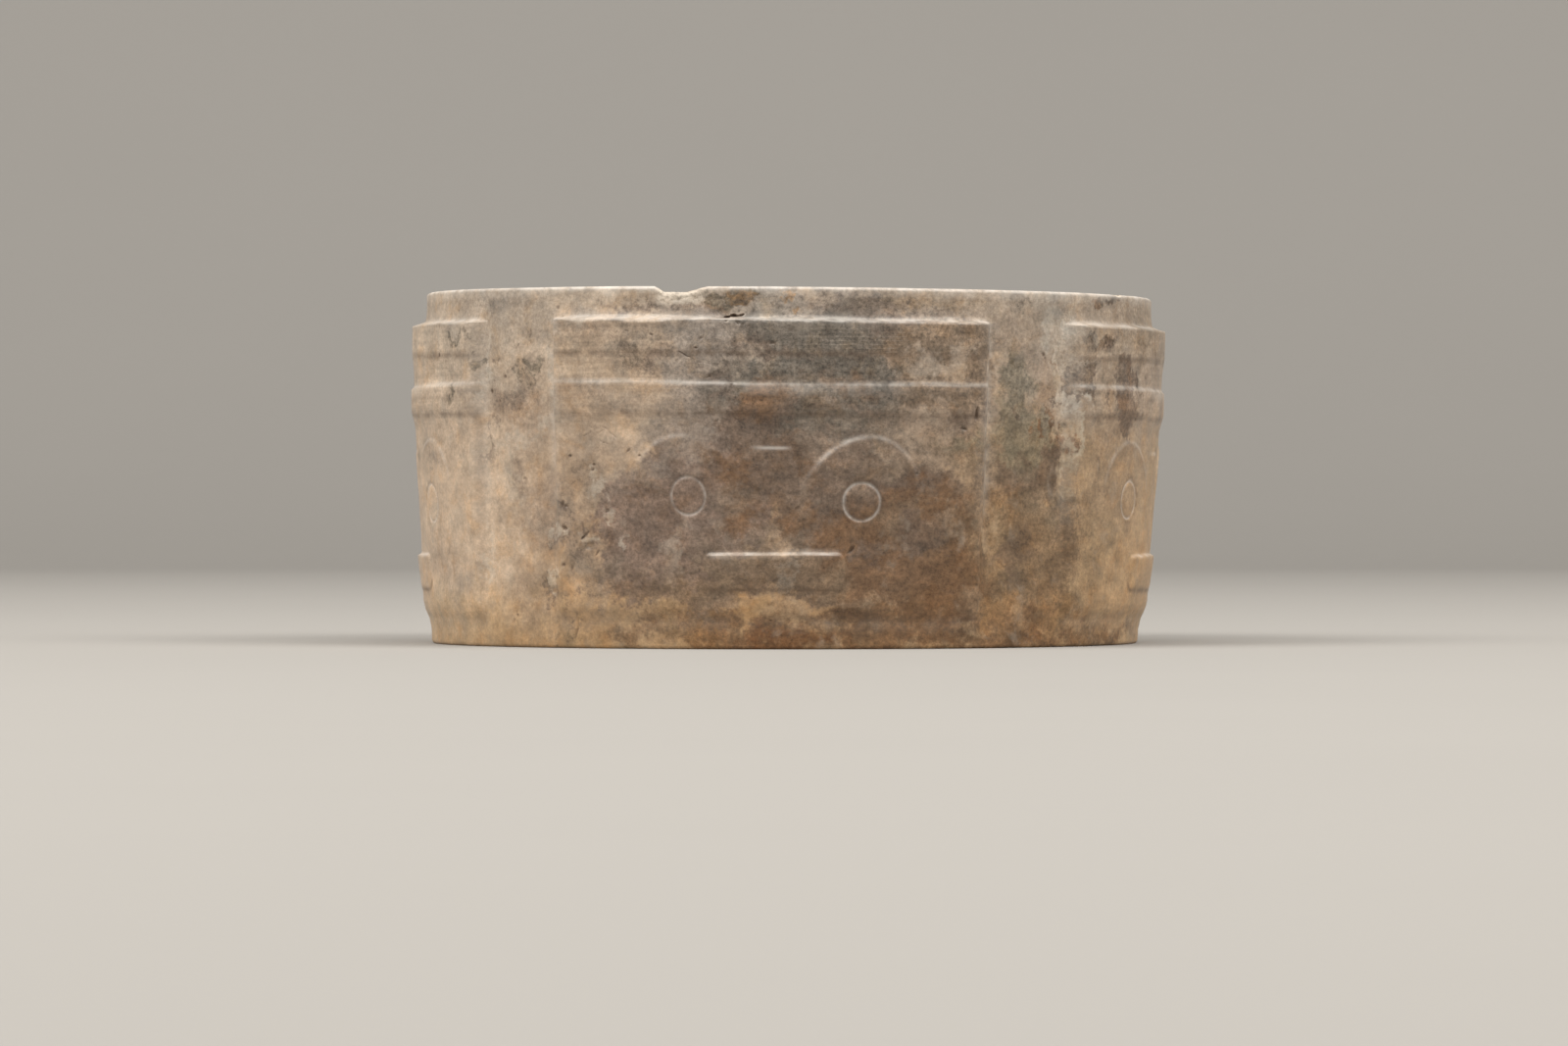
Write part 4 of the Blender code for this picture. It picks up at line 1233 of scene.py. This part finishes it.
class CongFinish(bpy.types.PropertyGroup):
    """Colours of the weathered stone"""

    cream: colour_property("Cream", "The palest altered stone", (0.545, 0.415, 0.30))
    blush: colour_property("Blush", "Pinkish stone under the rim", (0.40, 0.31, 0.232))
    honey: colour_property("Honey", "Warm stone near the foot", (0.42, 0.285, 0.175))
    tan: colour_property("Tan", "Plain brownish stone", (0.32, 0.236, 0.171))
    sand: colour_property("Sand", "Golden tan stone", (0.305, 0.215, 0.138))
    ochre: colour_property("Ochre", "Bright golden stains", (0.50, 0.325, 0.18))
    gold: colour_property("Gold", "Deep golden stains", (0.30, 0.18, 0.09))
    rose: colour_property("Rose", "Pinkish tan stone", (0.36, 0.265, 0.195))
    veil: colour_property("Veil", "Pale grey veils", (0.42, 0.355, 0.285))
    pith: colour_property("Pith", "Whitish crumbly stone", (0.58, 0.51, 0.42))
    ash: colour_property("Ash", "Bluish grey stone", (0.278, 0.224, 0.18))
    shade: colour_property("Shade", "Greyish tan stone", (0.25, 0.186, 0.134))
    mist: colour_property("Mist", "Greenish grey clouds", (0.225, 0.185, 0.135))
    slate: colour_property("Slate", "Grey clouds", (0.155, 0.129, 0.102))
    umber: colour_property("Umber", "Grey-brown clouds", (0.152, 0.107, 0.079))
    mauve: colour_property("Mauve", "Purplish brown clouds", (0.196, 0.137, 0.104))
    brown: colour_property("Brown", "Brown stone at the lower right", (0.17, 0.097, 0.052))
    bark: colour_property("Bark", "Lighter brown stone and patches", (0.20, 0.136, 0.087))
    rust: colour_property("Rust", "Iron stains", (0.155, 0.068, 0.025))
    moss: colour_property("Moss", "Greenish flaked patches", (0.19, 0.148, 0.104))
    amber: colour_property("Amber", "Tint towards the foot and the lower right", (1.0, 0.93, 0.77))
    pearl: colour_property("Pearl", "Tint under the rim", (0.92, 0.96, 1.0))
    rosy: colour_property("Rosy", "Tint of the warmer flecks", (1.0, 0.92, 0.82))
    sage: colour_property("Sage", "Tint of the cooler flecks", (0.92, 0.96, 1.0))
    # This colour also paints the highlights on edges that face up.
    worn: colour_property("Worn", "Worn edges and drilled grooves", (0.78, 0.74, 0.69))
    # This colour also paints the shade under the bars, the mouth and the panels' feet.
    soil: colour_property("Soil", "Old dirt in corners and pits", (0.085, 0.052, 0.031))
    # This also sets how strong the painted highlights are.
    wear_and_highlight: FloatProperty(name="Wear", description="How pale worn edges are", min=0.0, max=1.0, default=0.66)


class CongStudio(bpy.types.PropertyGroup):
    """The floor, the lights and the camera"""

    floor_colour: FloatVectorProperty(
        name="Floor",
        description="Colour of floor and backdrop",
        subtype="COLOR",
        default=(0.34, 0.325, 0.305),
    )
    top_light: power_property("Top Light", "overhead", 14.6)
    left_light: power_property("Left Light", "at the left", 21.5)
    right_light: power_property("Right Light", "at the right", 18.5)
    sky: FloatProperty(name="Sky", description="Strength of the light from all round", default=0.36)
    camera_lens: FloatProperty(name="Lens", description="Focal length", unit="CAMERA", default=172.7)
    camera_distance: FloatProperty(
        name="Camera Distance", description="From the ring's axis, in outer radii of the ring", default=20.0
    )
    camera_height: FloatProperty(
        name="Camera Height", description="As a share of the ring's height", default=0.41
    )
    camera_pitch: FloatProperty(
        name="Camera Pitch",
        description="How far the camera looks down",
        subtype="ANGLE",
        default=radians(0.17),
    )


# ---- operators ----------------------------------------------------------------------------------


class CONG_OT_carve(bpy.types.Operator):
    """Carve the cong and give it its stone"""

    bl_idname = "cong.carve"
    bl_label = "Carve Cong"

    def execute(self, context):
        form = context.scene.cong_form
        bm = plain_ring(form)
        for reach, all_damage in REFINING:
            refine(bm, form, reach, all_damage)
        bmesh.ops.triangulate(bm, faces=bm.faces)
        mesh = bpy.data.meshes.new("carved_cong")
        bm.to_mesh(mesh)
        bm.free()
        shape_ring(mesh, form)
        mesh.shade_smooth()
        cong = bpy.data.objects.new("carved_cong", mesh)
        context.collection.objects.link(cong)
        cong.data.materials.append(jade_material(context.scene.cong_finish))
        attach(cong, "root")
        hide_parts("jade_cong")
        print(f"carved_cong: {len(mesh.polygons)} triangles")
        return {"FINISHED"}


# The studio, in metres: each light's size and place, and the floor's extent.
LIGHTS = {
    "top_light": (1.2, (0.0, -0.3, 1.4)),
    "left_light": (0.9, (-1.05, -0.6, 1.25)),
    "right_light": (0.9, (1.05, -0.6, 1.25)),
}
LIGHT_COLOUR = (1.0, 0.975, 0.935)
SKY_COLOUR = (1.0, 0.97, 0.93, 1.0)
FLOOR_FRONT = -2.5
FLOOR_BACK = 1.0
FLOOR_HALF_WIDTH = 3.0
BACKDROP_BEND = 0.5
BACKDROP_HEIGHT = 3.0
CAMERA_ASIDE = -0.0005


class CONG_OT_studio(bpy.types.Operator):
    """Set up the floor, the lights and the camera"""

    bl_idname = "cong.studio"
    bl_label = "Set Up Studio"

    def execute(self, context):
        studio = context.scene.cong_studio
        self.floor(context, studio)
        for name, (size, place) in LIGHTS.items():
            self.light(context, name, getattr(studio, name), size, place)
        world = bpy.data.worlds.new("studio_sky")
        world.use_nodes = True
        background = world.node_tree.nodes["Background"]
        background.inputs["Color"].default_value = SKY_COLOUR
        background.inputs["Strength"].default_value = studio.sky
        context.scene.world = world
        context.scene.view_settings.view_transform = "Standard"
        self.camera(context, studio)
        return {"FINISHED"}

    def floor(self, context, studio):
        """A floor that curves up into a backdrop, extruded from one long edge."""
        bm = bmesh.new()
        profile = [(FLOOR_FRONT, 0.0), (FLOOR_BACK, 0.0)]
        for turn in range(10, 91, 10):
            out, up = sin(radians(turn)), 1 - cos(radians(turn))
            profile.append((FLOOR_BACK + BACKDROP_BEND * out, BACKDROP_BEND * up))
        profile.append((FLOOR_BACK + BACKDROP_BEND, BACKDROP_HEIGHT))
        line = [bm.verts.new((-FLOOR_HALF_WIDTH, y, z)) for y, z in profile]
        edges = [bm.edges.new(pair) for pair in zip(line, line[1:])]
        swept = bmesh.ops.extrude_edge_only(bm, edges=edges)["geom"]
        verts = [item for item in swept if isinstance(item, bmesh.types.BMVert)]
        bmesh.ops.translate(bm, verts=verts, vec=(2 * FLOOR_HALF_WIDTH, 0.0, 0.0))
        bmesh.ops.recalc_face_normals(bm, faces=bm.faces)
        mesh = bpy.data.meshes.new("studio_floor")
        bm.to_mesh(mesh)
        bm.free()
        mesh.shade_smooth()
        mesh.materials.append(plain_material("studio_floor", studio.floor_colour, 0.85))
        floor = bpy.data.objects.new("studio_floor", mesh)
        context.collection.objects.link(floor)
        floor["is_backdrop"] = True

    def light(self, context, name, power, size, place):
        """A soft square light that faces the middle of the ring."""
        lamp = bpy.data.lights.new(name, "AREA")
        lamp.energy = power
        lamp.size = size
        lamp.color = LIGHT_COLOUR
        obj = bpy.data.objects.new(name, lamp)
        obj.location = place
        target = Vector((0.0, 0.0, HEIGHT / 2 * MM))
        obj.rotation_euler = (target - obj.location).to_track_quat("-Z", "Y").to_euler()
        context.collection.objects.link(obj)

    def camera(self, context, studio):
        low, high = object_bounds()
        data = bpy.data.cameras.new("camera")
        data.lens = studio.camera_lens
        data.sensor_width = 36.0
        data.clip_start = 0.01
        camera = bpy.data.objects.new("camera", data)
        distance = studio.camera_distance * (high[1] - low[1]) / 2
        camera.location = (CAMERA_ASIDE, -distance, studio.camera_height * HEIGHT * MM)
        camera.rotation_euler = (pi / 2 - studio.camera_pitch, 0.0, 0.0)
        context.collection.objects.link(camera)
        context.scene.camera = camera


class CONG_PT_panel(bpy.types.Panel):
    """Sizes, colours and steps of the cong"""

    bl_label = "Jade Cong"
    bl_idname = "CONG_PT_panel"
    bl_space_type = "VIEW_3D"
    bl_region_type = "UI"
    bl_category = "Cong"

    def draw(self, context):
        for settings in (context.scene.cong_form, context.scene.cong_finish, context.scene.cong_studio):
            box = self.layout.box()
            for name in settings.bl_rna.properties.keys():
                if name not in {"rna_type", "name"}:
                    box.prop(settings, name)
        self.layout.operator(CONG_OT_carve.bl_idname)
        self.layout.operator(CONG_OT_studio.bl_idname)


CLASSES = (CongForm, CongFinish, CongStudio, CONG_OT_carve, CONG_OT_studio, CONG_PT_panel)


def register():
    for cls in CLASSES:
        bpy.utils.register_class(cls)
    bpy.types.Scene.cong_form = PointerProperty(type=CongForm)
    bpy.types.Scene.cong_finish = PointerProperty(type=CongFinish)
    bpy.types.Scene.cong_studio = PointerProperty(type=CongStudio)


def unregister():
    del bpy.types.Scene.cong_studio
    del bpy.types.Scene.cong_finish
    del bpy.types.Scene.cong_form
    for cls in reversed(CLASSES):
        bpy.utils.unregister_class(cls)


def main():
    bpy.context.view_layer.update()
    register()
    bpy.ops.cong.carve()
    bpy.ops.cong.studio()


if __name__ == "__main__":
    main()
